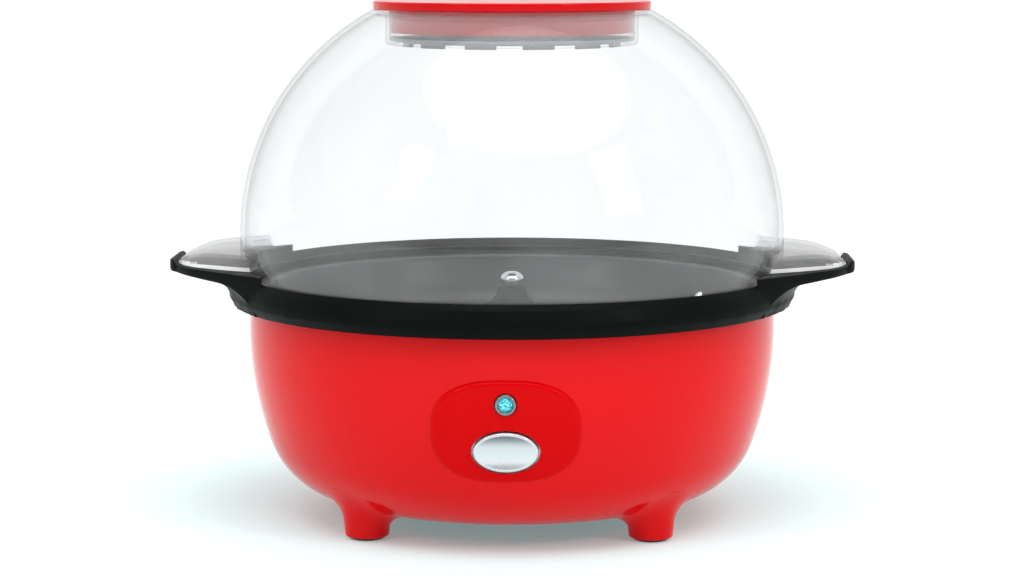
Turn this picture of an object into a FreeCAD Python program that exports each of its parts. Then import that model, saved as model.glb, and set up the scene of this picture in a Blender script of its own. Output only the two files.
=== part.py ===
import FreeCAD, Part
import math
import os
import re
import Sketcher
from fcgear import fcgear
from fcgear import involute

# Stirring popcorn maker: a red housing on four legs, a black collar with two wing handles, a pan
# with a heater and a geared motor under it, and a clear dome with a vent and a measuring cap.
# Millimetres. The origin is on the table under the middle of the housing, +X is to the right
# handle, -Y is the front with the button and +Z is up.

SIZES = {
    # housing shell
    "rim_radius": 115.8,
    "rim_height": 94.5,
    "side_arc": 150.0,
    "side_arc_top": 84.0,
    "belly_arc": 36.0,
    "body_bottom": 9.5,
    "wall": 2.6,
    "cover_radius": 69.5,
    "cover_thickness": 1.6,
    "ledge_inner": 62.0,
    "ledge_thickness": 2.0,
    # legs and pads
    "leg_across": 60.3,
    "leg_deep": 60.0,
    "leg_foot_radius": 9.4,
    "leg_top_radius": 11.0,
    "leg_bottom": 1.0,
    "leg_blend": 13.0,
    "pad_radius": 7.6,
    "pad_thickness": 3.0,
    # front panel, lamp and button
    "panel_half_width": 30.6,
    "panel_half_height": 21.8,
    "panel_height": 55.4,
    "panel_proud_top": 1.8,
    "panel_proud_bottom": 0.5,
    "panel_edge": 1.1,
    "lamp_height": 67.3,
    "bezel_radius": 4.3,
    "bezel_tube": 3.7,
    "bezel_depth": 1.2,
    "lens_radius": 3.1,
    "lamp_radius": 2.4,
    "button_height": 47.0,
    "button_half_width": 13.3,
    "button_half_height": 8.6,
    "button_gap": 0.5,
    "button_proud": 1.0,
    "button_flange": 1.5,
    "button_flange_thickness": 1.6,
    "button_travel": 2.5,
    "plunger_radius": 2.4,
    "spring_radius": 3.8,
    "spring_wire": 0.45,
    "spring_coils": 4,
    "switch_plate_front": 94.0,
    "switch_plate_thickness": 1.6,
    "switch_plate_half_width": 27.0,
    "switch_plate_low": 38.0,
    "switch_plate_high": 73.0,
    "switch_boss_across": 22.0,
    "switch_boss_height": 57.0,
    "switch_boss_radius": 3.0,
    "switch_boss_root": 109.4,
    "switch_half_width": 8.0,
    "switch_half_height": 7.0,
    "switch_depth": 20.0,
    # collar with the wing handles
    "collar_radius": 124.6,
    "collar_height": 108.5,
    "collar_band_low": 98.0,
    "collar_band_high": 101.0,
    "pan_seat": 100.0,
    "dome_seat": 104.5,
    "ledge_lip": 2.5,
    "skirt_depth": 6.0,
    "skirt_wall": 2.3,
    "collar_flare": 2.1,
    "collar_taper": 1.4,
    "collar_round": 6.0,
    "collar_rim": 0.7,
    "wing_reach": 150.2,
    "wing_tip_half": 4.0,
    "wing_corner": 7.0,
    "wing_corner_half": 23.5,
    "wing_corner_arc": 33.0,
    "wing_bow": 190.0,
    "wing_cove": 9.0,
    "wing_cove_run": 6.4,
    "wing_cove_drop": 1.7,
    "wing_root_half": 63.0,
    "wing_root": 105.0,
    "wing_top": 111.5,
    "wing_thickness": 3.0,
    "wing_lip": 2.3,
    "wing_lip_width": 2.6,
    # pan, heater and studs
    "pan_floor": 79.8,
    "pan_wall": 2.0,
    "pan_floor_radius": 91.0,
    "pan_corner": 13.0,
    "pan_slope": 20.0,
    "pan_flange": 114.0,
    "pan_flange_thickness": 1.6,
    "element_ring": 70.0,
    "element_tube": 3.3,
    "element_sweep": 320.0,
    "element_start": 170.0,
    "element_pin": 1.6,
    "stud_circle": 58.0,
    "stud_radius": 2.0,
    "spacer_radius": 4.5,
    "clamp_thickness": 1.5,
    "shield_height": 64.5,
    "shield_radius": 84.0,
    "shield_thickness": 1.0,
    "shield_rim": 5.0,
    "bracket_height": 55.5,
    "bracket_thickness": 1.5,
    "bracket_disc": 44.0,
    "bracket_arm": 84.0,
    "bracket_arm_width": 16.0,
    "post_circle": 78.0,
    "post_radius": 5.0,
    "thermostat_radius": 8.0,
    "thermostat_across": 35.0,
    # gearbox and motor
    "gear_module": 0.8,
    "pinion_teeth": 12,
    "wheel_teeth": 36,
    "gear_backlash": 0.25,
    "rotor_direction": 150.0,
    "gearbox_radius": 27.8,
    "gearbox_wall": 1.6,
    "gearbox_low": 42.0,
    "plate_thickness": 1.6,
    "gearbox_ear_circle": 30.0,
    "gearbox_ear": 4.0,
    "gear_width": 4.0,
    "motor_height": 14.4,
    "motor_radius": 18.0,
    "motor_wall": 1.0,
    "magnet_radius": 9.5,
    "coil_inner": 10.5,
    "coil_outer": 16.5,
    "pin_radius": 1.3,
    # shaft and stirrer
    "shaft_radius": 3.0,
    "bushing_radius": 6.0,
    "hub_low": 82.6,
    "hub_high": 101.0,
    "hub_foot_radius": 10.5,
    "hub_top_radius": 6.5,
    "rod_radius": 1.8,
    "rod_height": 87.0,
    "rod_drop": 3.4,
    "nut_radius": 5.2,
    "nut_rise": 3.0,
    "long_rod": 95.0,
    "short_rod": 76.0,
    # dome, vent and cap
    "dome_radius": 119.6,
    "dome_wall": 2.0,
    "dome_straight_top": 124.0,
    "dome_top": 222.4,
    "dome_mouth": 60.9,
    "neck_inner": 53.8,
    "neck_wall": 1.6,
    "neck_bottom": 207.2,
    "neck_ledge": 50.5,
    "tab_root_half": 47.5,
    "tab_tip_half": 14.5,
    "tab_reach": 146.2,
    "tab_root_height": 118.0,
    "tab_tip_height": 113.9,
    "tab_lean": 3.0,
    "tab_wall": 1.8,
    "vent_thickness": 1.4,
    "vent_ring": 47.8,
    "cap_radius": 60.8,
    "cap_height": 226.2,
    "cap_skirt": 53.4,
    "cap_skirt_low": 212.4,
    "cap_wall": 1.8,
    "cap_edge": 1.2,
    # rear cord inlet
    "inlet_height": 40.0,
    "inlet_face": 111.5,
    "inlet_boss": 10.0,
    "inlet_bore": 3.5,
    # screws and clearances
    "screw_radius": 1.5,
    "small_screw": 1.1,
    "thread_gap": 0.05,
    "running_gap": 0.06,
    "seat_gap": 0.35,
    "loose_gap": 0.4,
}

doc = FreeCAD.newDocument("PopcornMaker")
sheet = doc.addObject("Spreadsheet::Sheet", "Sizes")
for row, (alias, value) in enumerate(SIZES.items(), start=1):
    sheet.set(f"A{row}", alias)
    sheet.set(f"B{row}", str(value))
    sheet.setAlias(f"B{row}", alias)
doc.recompute()

ALIASES = re.compile(r"\b(" + "|".join(sorted(SIZES, key=len, reverse=True)) + r")\b")
AXIS_Y = FreeCAD.Rotation(FreeCAD.Vector(1, 0, 0), -90)
nodes = []


def cells(formula):
    """The formula with the sheet's name before each alias."""
    return ALIASES.sub(lambda found: "Sizes." + found.group(0), formula)


def number(formula):
    """What a formula of aliases comes to now."""
    return float(sheet.evalExpression(cells(formula)))


def bind(item, **formulas):
    """Ties properties of an object to formulas of aliases."""
    for name, formula in formulas.items():
        item.setExpression(name.replace("__", "."), cells(formula))


def place(item, across="0", deep="0", height="0"):
    """Ties an object's Placement to formulas."""
    bind(item, Placement__Base__x=across, Placement__Base__y=deep, Placement__Base__z=height)
    return item


def node(item, label):
    """Names a finished sub-part."""
    item.Label = label
    nodes.append(item)
    return item


def on_circle(radius, degrees):
    """The two coordinates of a place on a circle about the Z axis."""
    return f"({radius}) * cos({degrees})", f"({radius}) * sin({degrees})"


# ---- solids from the Part workbench -------------------------------------------------------------

def cylinder(name, radius, low, high, across="0", deep="0"):
    """An upright cylinder between two heights."""
    item = doc.addObject("Part::Cylinder", name)
    bind(item, Radius=radius, Height=f"({high}) - ({low})")
    return place(item, across, deep, low)


def level_cylinder(name, radius, front, back, across, height):
    """A cylinder along Y between two depths."""
    item = doc.addObject("Part::Cylinder", name)
    item.Placement.Rotation = AXIS_Y
    bind(item, Radius=radius, Height=f"({back}) - ({front})")
    return place(item, across, front, height)


def box(name, size, corner, turn=None):
    """A box from its three sizes and its low corner, turned about Z if asked."""
    item = doc.addObject("Part::Box", name)
    bind(item, Length=size[0], Width=size[1], Height=size[2])
    if turn is not None:
        item.Placement.Rotation = FreeCAD.Rotation(FreeCAD.Vector(0, 0, 1), turn)
    return place(item, *corner)


def oval(name, half_width, half_height, front, back, height):
    """An elliptic prism along Y."""
    curve = doc.addObject("Part::Ellipse", name + "_outline")
    curve.Placement.Rotation = AXIS_Y
    bind(curve, MajorRadius=half_width, MinorRadius=half_height)
    place(curve, "0", front, height)
    item = doc.addObject("Part::Extrusion", name)
    item.Base = curve
    item.Dir = FreeCAD.Vector(0, 1, 0)
    item.Solid = True
    bind(item, LengthFwd=f"({back}) - ({front})")
    return item


def joined(name, parts):
    """One solid out of several."""
    item = doc.addObject("Part::MultiFuse", name)
    item.Shapes = parts
    item.Refine = True
    return item


def group(name, parts):
    """Separate solids that share one node."""
    item = doc.addObject("Part::Compound", name)
    item.Links = parts
    return item


def cut(name, base, tools):
    """The base less its tools."""
    item = doc.addObject("Part::Cut", name)
    item.Base = base
    item.Tool = tools[0] if len(tools) == 1 else joined(name + "_tools", tools)
    return item


def common(name, first, second):
    """What two solids share."""
    item = doc.addObject("Part::Common", name)
    item.Base = first
    item.Tool = second
    return item


def ring(name, outer, inner, low, high, across="0", deep="0"):
    """An upright tube."""
    hole = cylinder(name + "_bore", inner, f"({low}) - 1", f"({high}) + 1", across, deep)
    return cut(name, cylinder(name + "_disc", outer, low, high, across, deep), [hole])


# ---- solids from sketches -----------------------------------------------------------------------

def new_body(name):
    """An empty body."""
    return doc.addObject("PartDesign::Body", name)


def plane_of(body, role):
    """One of a body's own origin planes."""
    return next(item for item in body.Origin.OriginFeatures if item.Role == role)


def sketch_on(body, role, name, offset="0"):
    """A sketch on one of the body's planes, moved along the plane's normal."""
    sketch = body.newObject("Sketcher::SketchObject", name)
    sketch.AttachmentSupport = [(plane_of(body, role), "")]
    sketch.MapMode = "FlatFace"
    bind(sketch, AttachmentOffset__Base__z=offset)
    return sketch


def arc_between(start, end, radius, side):
    """The short arc of a radius from start to end that turns to the given side."""
    chord = end.sub(start)
    left = FreeCAD.Vector(-chord.y, chord.x, 0).normalize()
    if side == "right":
        left = left * -1
    rise = radius - math.sqrt(radius ** 2 - chord.Length ** 2 / 4)
    middle = (start + end) * 0.5 - left * rise
    return Part.Arc(start, middle, end)


def pin_point(sketch, edge, end, formula, axis, label):
    """Fixes one coordinate of a sketch point."""
    if formula == "0":
        sketch.addConstraint(Sketcher.Constraint("PointOnObject", edge, end, -2 if axis == "X" else -1))
        return
    rule = Sketcher.Constraint("Distance" + axis, -1, 1, edge, end, number(formula))
    index = sketch.addConstraint(rule)
    sketch.renameConstraint(index, label)
    sketch.setExpression("Constraints." + label, cells(formula))


def draw(sketch, corners, tag="p"):
    """A closed outline. A corner is (x, y), or (x, y, radius, side) where an arc leaves it."""
    spots = [FreeCAD.Vector(number(corner[0]), number(corner[1]), 0) for corner in corners]
    edges = []
    for here, corner in enumerate(corners):
        start = spots[here]
        end = spots[(here + 1) % len(spots)]
        if len(corner) == 2:
            edge = sketch.addGeometry(Part.LineSegment(start, end), False)
            edges.append((edge, 1, 2))
            continue
        edge = sketch.addGeometry(arc_between(start, end, number(corner[2]), corner[3]), False)
        forward = sketch.getPoint(edge, 1).distanceToPoint(start) < 1e-4
        edges.append((edge, 1, 2) if forward else (edge, 2, 1))
        index = sketch.addConstraint(Sketcher.Constraint("Radius", edge, number(corner[2])))
        sketch.renameConstraint(index, f"{tag}_arc{here}")
        sketch.setExpression(f"Constraints.{tag}_arc{here}", cells(corner[2]))
    for here, (edge, head, tail) in enumerate(edges):
        following = edges[(here + 1) % len(edges)]
        sketch.addConstraint(Sketcher.Constraint("Coincident", edge, tail, following[0], following[1]))
        pin_point(sketch, edge, head, corners[here][0], "X", f"{tag}_x{here}")
        pin_point(sketch, edge, head, corners[here][1], "Y", f"{tag}_y{here}")
    return sketch


def turned(body, name, corners, kind="Revolution"):
    """Turns an outline of (radius, height) corners about the Z axis, to add or to cut."""
    sketch = draw(sketch_on(body, "XZ_Plane", name + "_sketch"), corners)
    feature = body.newObject("PartDesign::" + kind, name)
    feature.Profile = sketch
    feature.ReferenceAxis = (sketch, ["V_Axis"])
    feature.Angle = 360
    return feature


def turned_body(name, corners):
    """A body that is one turned outline."""
    body = new_body(name)
    turned(body, name + "_turn", corners)
    return body


# ---- formulas shared by pieces that fit each other ----------------------------------------------

SIDE_CENTRE = "(rim_radius - side_arc)"
BELLY_CENTRE_HEIGHT = "(body_bottom + belly_arc)"
BELLY_CENTRE = (
    f"({SIDE_CENTRE} + sqrt((side_arc - belly_arc)^2 - (side_arc_top - {BELLY_CENTRE_HEIGHT})^2))"
)


def skin(offset):
    """The corners of the housing's side curve, a wall's depth inside the outer face."""
    blend_radius = (
        f"({SIDE_CENTRE} + (side_arc - {offset}) * ({BELLY_CENTRE} - {SIDE_CENTRE})"
        " / (side_arc - belly_arc))"
    )
    blend_height = (
        f"(side_arc_top - (side_arc - {offset}) * (side_arc_top - {BELLY_CENTRE_HEIGHT})"
        " / (side_arc - belly_arc))"
    )
    return [
        (blend_radius, blend_height, f"side_arc - {offset}", "left"),
        (f"rim_radius - {offset}", "side_arc_top"),
    ]


def side_radius(height, inset="0"):
    """The radius of the housing's large side arc at a height."""
    return (
        f"({SIDE_CENTRE} + sqrt((side_arc - ({inset}))^2 - (side_arc_top - ({height}))^2))"
    )


LEDGE_LOW = "(body_bottom + cover_thickness)"
LEDGE_TOP = f"({LEDGE_LOW} + ledge_thickness)"
PAN_UNDER = "(pan_floor - pan_wall - 0.2)"
PAN_CORNER_HEIGHT = f"({PAN_UNDER} + pan_corner)"
PAN_WALL_FOOT = "(pan_floor_radius + pan_corner * cos(pan_slope))"
PAN_WALL_TOP = (
    f"({PAN_WALL_FOOT} + (pan_seat - {PAN_CORNER_HEIGHT} + pan_corner * sin(pan_slope))"
    " * tan(pan_slope))"
)
COLLAR_LEDGE = f"({PAN_WALL_TOP} + seat_gap)"
SKIRT_OUTER = "(rim_radius - wall - seat_gap)"
SKIRT_INNER = f"({SKIRT_OUTER} - skirt_wall)"
SKIRT_LOW = "(rim_height - skirt_depth)"
COLLAR_SCREW_CIRCLE = f"(({SKIRT_OUTER} + {SKIRT_INNER}) / 2)"
BUTTON_FLANGE_FRONT = (
    "(-sqrt(" + side_radius("button_height - button_half_height - button_flange", "wall")
    + "^2 - 64) + seat_gap)"
)
BUTTON_FLANGE_BACK = f"({BUTTON_FLANGE_FRONT} + button_flange_thickness)"
PLATE_FRONT = "(-switch_plate_front)"
PLATE_BACK = f"({PLATE_FRONT} + switch_plate_thickness)"
GEAR_DISTANCE = "(gear_module * (pinion_teeth + wheel_teeth) / 2 + gear_backlash)"
ROTOR_ACROSS = f"({GEAR_DISTANCE} * (1 + cos(rotor_direction)))"
ROTOR_DEEP = f"({GEAR_DISTANCE} * sin(rotor_direction))"
BOX_ACROSS = f"({GEAR_DISTANCE} / 2)"
BOX_DEEP = f"({ROTOR_DEEP} / 3)"
PLATE_LOW = "(gearbox_low - plate_thickness)"
MOTOR_LOW = f"({PLATE_LOW} - motor_height)"
BRACKET_TOP = "(bracket_height + bracket_thickness)"
CLAMP_TOP = f"({PAN_UNDER} - 2 * element_tube)"
CLAMP_LOW = f"({CLAMP_TOP} - clamp_thickness)"
SHIELD_TOP = "(shield_height + shield_thickness)"
NECK_SEAT = "(neck_bottom + neck_wall)"
FRONT_SKIN = f"-({side_radius('lamp_height')} + panel_proud_top)"

LEGS = [(1, 1), (-1, 1), (-1, -1), (1, -1)]
ARM_ANGLES = [90, 210, 330]
COVER_ANGLES = [45, 135, 225, 315]
EAR_ANGLES = [60, 180, 300]


# ---- housing ------------------------------------------------------------------------------------

def housing_leg(index, across, deep):
    """One moulded leg with a blend that runs up into the belly."""
    blend_low = "12.5"
    blend_out = "leg_top_radius + 3.6"
    body = turned_body(f"leg_{index}", [
        ("0", "leg_bottom"),
        ("leg_foot_radius - 1.6", "leg_bottom", "1.7", "left"),
        ("leg_foot_radius", "leg_bottom + 1.6"),
        ("leg_top_radius", blend_low, "leg_blend", "right"),
        (blend_out, "21.4"),
        ("0", "21.4"),
    ])
    return place(body, f"{across} * leg_across", f"{deep} * leg_deep", "0")


def front_panel():
    """The raised oval panel, proud at its top and almost flush at its foot."""
    low = "(panel_height - panel_half_height - 4)"
    high = "(panel_height + panel_half_height + 4)"
    bulk = turned_body("panel_bulk", [
        ("rim_radius - 25", low),
        (f"{side_radius(low)} + panel_proud_bottom", low, "side_arc + 2", "left"),
        (f"{side_radius(high)} + panel_proud_top", high),
        ("rim_radius - 25", high),
    ])
    prism = oval("panel_prism", "panel_half_width", "panel_half_height", "-rim_radius - 10",
                 "-rim_radius + 12", "panel_height")
    return common("front_panel", prism, bulk)


def housing_cavity():
    """The room inside the housing, with the recess for the bottom cover."""
    shoulder = (
        f"{BELLY_CENTRE} + sqrt((belly_arc - wall)^2 - ({BELLY_CENTRE_HEIGHT} - {LEDGE_TOP})^2)"
    )
    return turned_body("housing_cavity", [
        ("0", "body_bottom - 10"),
        ("cover_radius + seat_gap", "body_bottom - 10"),
        ("cover_radius + seat_gap", LEDGE_LOW),
        ("ledge_inner", LEDGE_LOW),
        ("ledge_inner", LEDGE_TOP),
        (shoulder, LEDGE_TOP, "belly_arc - wall", "left"),
        *skin("wall"),
        ("rim_radius - wall", "rim_height + 5"),
        ("0", "rim_height + 5"),
    ])


def rounded(name, base, radius, wanted):
    """Rounds the edges of the base that a test picks."""
    doc.recompute()
    chosen = [i for i, edge in enumerate(base.Shape.Edges, start=1) if wanted(edge)]
    item = doc.addObject("Part::Fillet", name)
    item.Base = base
    item.Edges = [(i, radius, radius) for i in chosen]
    return item


def is_panel_rim(edge):
    """True for the long front edge of the raised panel."""
    limits = edge.BoundBox
    proud = limits.YMin < -number(side_radius("panel_height"))
    return limits.XLength > number("panel_half_width") and proud and limits.ZLength > 20


def make_base_housing():
    """The red housing with its legs, posts, bosses and openings."""
    outer = turned_body("housing_outer", [
        ("0", "body_bottom"),
        (BELLY_CENTRE, "body_bottom", "belly_arc", "left"),
        *skin("0"),
        ("rim_radius", "rim_height"),
        ("0", "rim_height"),
    ])
    legs = [housing_leg(i, across, deep) for i, (across, deep) in enumerate(LEGS)]
    inlet = level_cylinder("inlet_boss", "inlet_boss", "inlet_face - 14", "inlet_face", "0",
                           "inlet_height")
    panel = rounded("panel_rounded", front_panel(), number("panel_edge"), is_panel_rim)
    shell = cut("shell", joined("shell_outside", [outer, *legs, inlet, panel]), [housing_cavity()])
    inside = [shell]
    holes = []
    for i, angle in enumerate(ARM_ANGLES):
        spot = on_circle("post_circle", angle)
        inside.append(cylinder(f"post_{i}", "post_radius", f"{LEDGE_TOP} - 1", "bracket_height", *spot))
        holes.append(cylinder(f"post_hole_{i}", "screw_radius + thread_gap", "bracket_height - 14",
                              "bracket_height + 1", *spot))
    for i, angle in enumerate(COVER_ANGLES):
        spot = on_circle("(ledge_inner + cover_radius) / 2", angle)
        inside.append(cylinder(f"cover_boss_{i}", "screw_radius + 2.5", f"{LEDGE_TOP} - 1",
                               f"{LEDGE_TOP} + 8", *spot))
        holes.append(cylinder(f"cover_hole_{i}", "screw_radius + thread_gap", f"{LEDGE_LOW} - 1",
                              f"{LEDGE_TOP} + 7", *spot))
        spot = on_circle(COLLAR_SCREW_CIRCLE, angle)
        inside.append(cylinder(f"rim_ear_{i}", "small_screw + 2.6", f"{SKIRT_LOW} - 4.2",
                               f"{SKIRT_LOW} - 0.2", *spot))
        holes.append(cylinder(f"rim_ear_hole_{i}", "small_screw * 0.7 + 0.3", f"{SKIRT_LOW} - 5",
                              f"{SKIRT_LOW} + 1", *spot))
    for i, side in enumerate((-1, 1)):
        across = f"{side} * switch_boss_across"
        inside.append(level_cylinder(f"switch_boss_{i}", "switch_boss_radius", "-switch_boss_root",
                                     PLATE_FRONT, across, "switch_boss_height"))
        holes.append(level_cylinder(f"switch_boss_hole_{i}", "small_screw + thread_gap",
                                    f"{PLATE_FRONT} - 8", f"{PLATE_FRONT} + 1", across,
                                    "switch_boss_height"))
    for i, (across, deep) in enumerate(LEGS):
        holes.append(cylinder(f"leg_recess_{i}", "pad_radius + thread_gap", "leg_bottom - 1",
                              "pad_thickness", f"{across} * leg_across", f"{deep} * leg_deep"))
    holes.append(oval("button_hole", "button_half_width + button_gap",
                      "button_half_height + button_gap", "-rim_radius - 10", "-90", "button_height"))
    holes.append(level_cylinder("lamp_hole", "bezel_tube + thread_gap", "-rim_radius - 10", "-100",
                                "0", "lamp_height"))
    holes.append(level_cylinder("lamp_recess", "bezel_radius + 0.1", "-rim_radius - 10",
                                f"{FRONT_SKIN} + bezel_depth", "0", "lamp_height"))
    holes.append(level_cylinder("inlet_hole", "inlet_bore + 2 + thread_gap", "inlet_face - 20",
                                "inlet_face + 1", "0", "inlet_height"))
    node(cut("base_housing", joined("housing_inside", inside), holes), "base_housing")


def make_bottom():
    """The vented bottom cover, its screws and the rubber pads."""
    screw_circle = "(ledge_inner + cover_radius) / 2"
    holes = []
    screws = []
    for i, angle in enumerate(COVER_ANGLES):
        spot = on_circle(screw_circle, angle)
        holes.append(cylinder(f"cover_screw_hole_{i}", "screw_radius + loose_gap",
                              "body_bottom - 1", f"{LEDGE_LOW} + 1", *spot))
        head = cylinder(f"cover_head_{i}", "screw_radius * 1.9", "body_bottom - 1.6", "body_bottom",
                        *spot)
        shank = cylinder(f"cover_shank_{i}", "screw_radius", "body_bottom - 0.5",
                         f"{LEDGE_TOP} + 5", *spot)
        screws.append(joined(f"cover_screw_{i}", [head, shank]))
    for i in range(16):
        angle = i * 22.5
        along = on_circle("30", angle)
        holes.append(box(f"cover_slot_{i}", ("22", "3", "6"), (*along, "body_bottom - 2"), angle))
    disc = cylinder("cover_disc", "cover_radius", "body_bottom", LEDGE_LOW)
    node(cut("bottom_cover", disc, holes), "bottom_cover")
    node(group("bottom_cover_screws", screws), "bottom_cover_screws")
    pads = []
    for i, (across, deep) in enumerate(LEGS):
        spot = (f"{across} * leg_across", f"{deep} * leg_deep")
        pads.append(cylinder(f"pad_{i}", "pad_radius", "0", "pad_thickness", *spot))
    node(group("rubber_foot_pads", pads), "rubber_foot_pads")


# ---- collar with the wing handles ---------------------------------------------------------------

def wing_plan(body, side):
    """The flat plan of one wing, a little convex along its slanted sides."""
    sketch = sketch_on(body, "XY_Plane", f"wing_plan_{side}", "rim_height + 1")
    reach = f"{side}" + " * wing_reach"
    corner = f"{side}" + " * (wing_reach - wing_corner)"
    root = f"{side}" + " * wing_root"
    turn = "left" if side > 0 else "right"
    draw(sketch, [
        (root, "-wing_root_half", "wing_bow", turn),
        (corner, "-wing_corner_half", "wing_corner_arc", turn),
        (reach, "-wing_tip_half"),
        (reach, "wing_tip_half", "wing_corner_arc", turn),
        (corner, "wing_corner_half", "wing_bow", turn),
        (root, "wing_root_half"),
    ])
    wing = body.newObject("PartDesign::Pad", f"wing_{'right' if side > 0 else 'left'}")
    wing.Profile = sketch
    bind(wing, Length="wing_top + wing_lip - rim_height - 1")
    return wing


def make_handle_collar():
    """The black ring between the housing and the dome, with a wing handle at each side."""
    body = new_body("collar_body")
    turned(body, "collar_ring", [
        (COLLAR_LEDGE, "rim_height"),
        ("collar_radius - collar_flare", "rim_height"),
        ("collar_radius", "collar_band_low"),
        ("collar_radius", "collar_band_high"),
        ("collar_radius - collar_taper", "dome_seat + 0.5", "collar_round", "left"),
        ("dome_radius + seat_gap + collar_rim", "collar_height"),
        (COLLAR_LEDGE, "collar_height"),
    ])
    for side in (1, -1):
        wing_plan(body, side)
    tip_low = "wing_top - wing_thickness"
    turned(body, "wing_underside", [
        ("collar_radius - collar_flare", "rim_height - 1"),
        ("collar_radius - collar_flare", "rim_height"),
        ("collar_radius", "collar_band_low", "wing_cove", "right"),
        ("collar_radius + wing_cove_run", f"{tip_low} - wing_cove_drop"),
        ("wing_reach - 2", tip_low),
        ("wing_reach + 12", tip_low),
        ("wing_reach + 12", "rim_height - 1"),
    ], "Groove")
    for side in (1, -1):
        sketch = sketch_on(body, "XY_Plane", f"wing_top_plan_{side}", "wing_top")
        inner = "80" if side > 0 else "-80"
        edge = f"{side} * (wing_reach - wing_lip_width)"
        draw(sketch, [(inner, "-90"), (edge, "-90"), (edge, "90"), (inner, "90")])
        pocket = body.newObject("PartDesign::Pocket", f"wing_top_{'right' if side > 0 else 'left'}")
        pocket.Profile = sketch
        pocket.Reversed = True
        pocket.Length = 20
    turned(body, "collar_inside", [
        ("90", "rim_height - 1"),
        (SKIRT_INNER, "rim_height - 1"),
        (SKIRT_INNER, "pan_seat - ledge_lip"),
        (COLLAR_LEDGE, "pan_seat - ledge_lip"),
        (COLLAR_LEDGE, "pan_seat"),
        ("pan_flange + seat_gap", "pan_seat"),
        ("pan_flange + seat_gap", "dome_seat"),
        ("dome_radius + seat_gap", "dome_seat"),
        ("dome_radius + seat_gap", "wing_top + 20"),
        ("90", "wing_top + 20"),
    ], "Groove")
    turned(body, "collar_skirt", [
        (SKIRT_INNER, SKIRT_LOW),
        (SKIRT_OUTER, SKIRT_LOW),
        (SKIRT_OUTER, "rim_height + 1"),
        (SKIRT_INNER, "rim_height + 1"),
    ])
    holes = []
    screws = []
    for i, angle in enumerate(COVER_ANGLES):
        spot = on_circle(COLLAR_SCREW_CIRCLE, angle)
        holes.append(cylinder(f"collar_hole_{i}", "small_screw * 0.7 + thread_gap",
                              f"{SKIRT_LOW} - 1", f"{SKIRT_LOW} + 8", *spot))
        head = cylinder(f"collar_head_{i}", "small_screw * 1.3", f"{SKIRT_LOW} - 5.8",
                        f"{SKIRT_LOW} - 4.2", *spot)
        shank = cylinder(f"collar_shank_{i}", "small_screw * 0.7", f"{SKIRT_LOW} - 5",
                         f"{SKIRT_LOW} + 7", *spot)
        screws.append(joined(f"collar_screw_{i}", [head, shank]))
    node(cut("handle_collar_drilled", body, holes), "handle_collar")
    node(group("collar_screws", screws), "collar_screws")


# ---- pan, heater and what holds them ------------------------------------------------------------

def make_pan():
    """The dished pan, hung by its flange from the collar."""
    inner_corner = "(pan_corner - pan_wall)"
    inner_height = f"(pan_floor + {inner_corner})"
    inner_foot = f"(pan_floor_radius + {inner_corner} * cos(pan_slope))"
    inner_low = f"({inner_height} - {inner_corner} * sin(pan_slope))"
    lip = "(pan_seat + pan_flange_thickness)"
    bushing_hole = "bushing_radius + thread_gap"
    node(turned_body("popping_pan", [
        (bushing_hole, PAN_UNDER),
        ("pan_floor_radius", PAN_UNDER, "pan_corner", "left"),
        (PAN_WALL_FOOT, f"{PAN_CORNER_HEIGHT} - pan_corner * sin(pan_slope)"),
        (PAN_WALL_TOP, "pan_seat"),
        ("pan_flange", "pan_seat"),
        ("pan_flange", lip),
        (f"{inner_foot} + ({lip} - {inner_low}) * tan(pan_slope)", lip),
        (inner_foot, inner_low, inner_corner, "right"),
        ("pan_floor_radius", "pan_floor"),
        (bushing_hole, "pan_floor"),
    ]), "popping_pan")


def make_heater():
    """The tubular element, its pins and its clamps."""
    centre = f"({PAN_UNDER} - element_tube)"
    element = doc.addObject("Part::Torus", "heating_element")
    element.Placement.Rotation = FreeCAD.Rotation(FreeCAD.Vector(0, 0, 1), number("element_start"))
    bind(element, Radius1="element_ring", Radius2="element_tube", Angle3="element_sweep")
    node(place(element, height=centre), "heating_element")
    pins = []
    for i, angle in enumerate(("element_start - 2", "element_start + element_sweep + 2")):
        spot = on_circle("element_ring", angle)
        elbow = cylinder(f"pin_elbow_{i}", "element_tube", f"{centre} - 1.6",
                         f"{centre} + element_tube", *spot)
        drop = cylinder(f"pin_drop_{i}", "element_pin", "shield_height - 6", centre, *spot)
        pins.append(joined(f"element_pin_{i}", [elbow, drop]))
    both = group("element_pins_raw", pins)
    reach = doc.addObject("Part::Torus", "element_reach")
    reach.Placement.Rotation = element.Placement.Rotation
    bind(reach, Radius1="element_ring", Radius2="element_tube + 0.02", Angle3="element_sweep")
    place(reach, height=centre)
    node(cut("element_pins", both, [reach]), "element_pins")
    clamps = []
    for i, angle in enumerate(ARM_ANGLES):
        start = "(stud_circle - spacer_radius)"
        corner = (f"{start} * cos({angle}) + 5 * sin({angle})",
                  f"{start} * sin({angle}) - 5 * cos({angle})", CLAMP_LOW)
        strip = box(f"clamp_strip_{i}", ("element_ring - stud_circle + 9", "10", "clamp_thickness"),
                    corner, angle)
        hole = cylinder(f"clamp_hole_{i}", "stud_radius + thread_gap", f"{CLAMP_LOW} - 1",
                        f"{CLAMP_TOP} + 1", *on_circle("stud_circle", angle))
        clamps.append(cut(f"clamp_{i}", strip, [hole]))
    node(group("element_clamps", clamps), "element_clamps")


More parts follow.
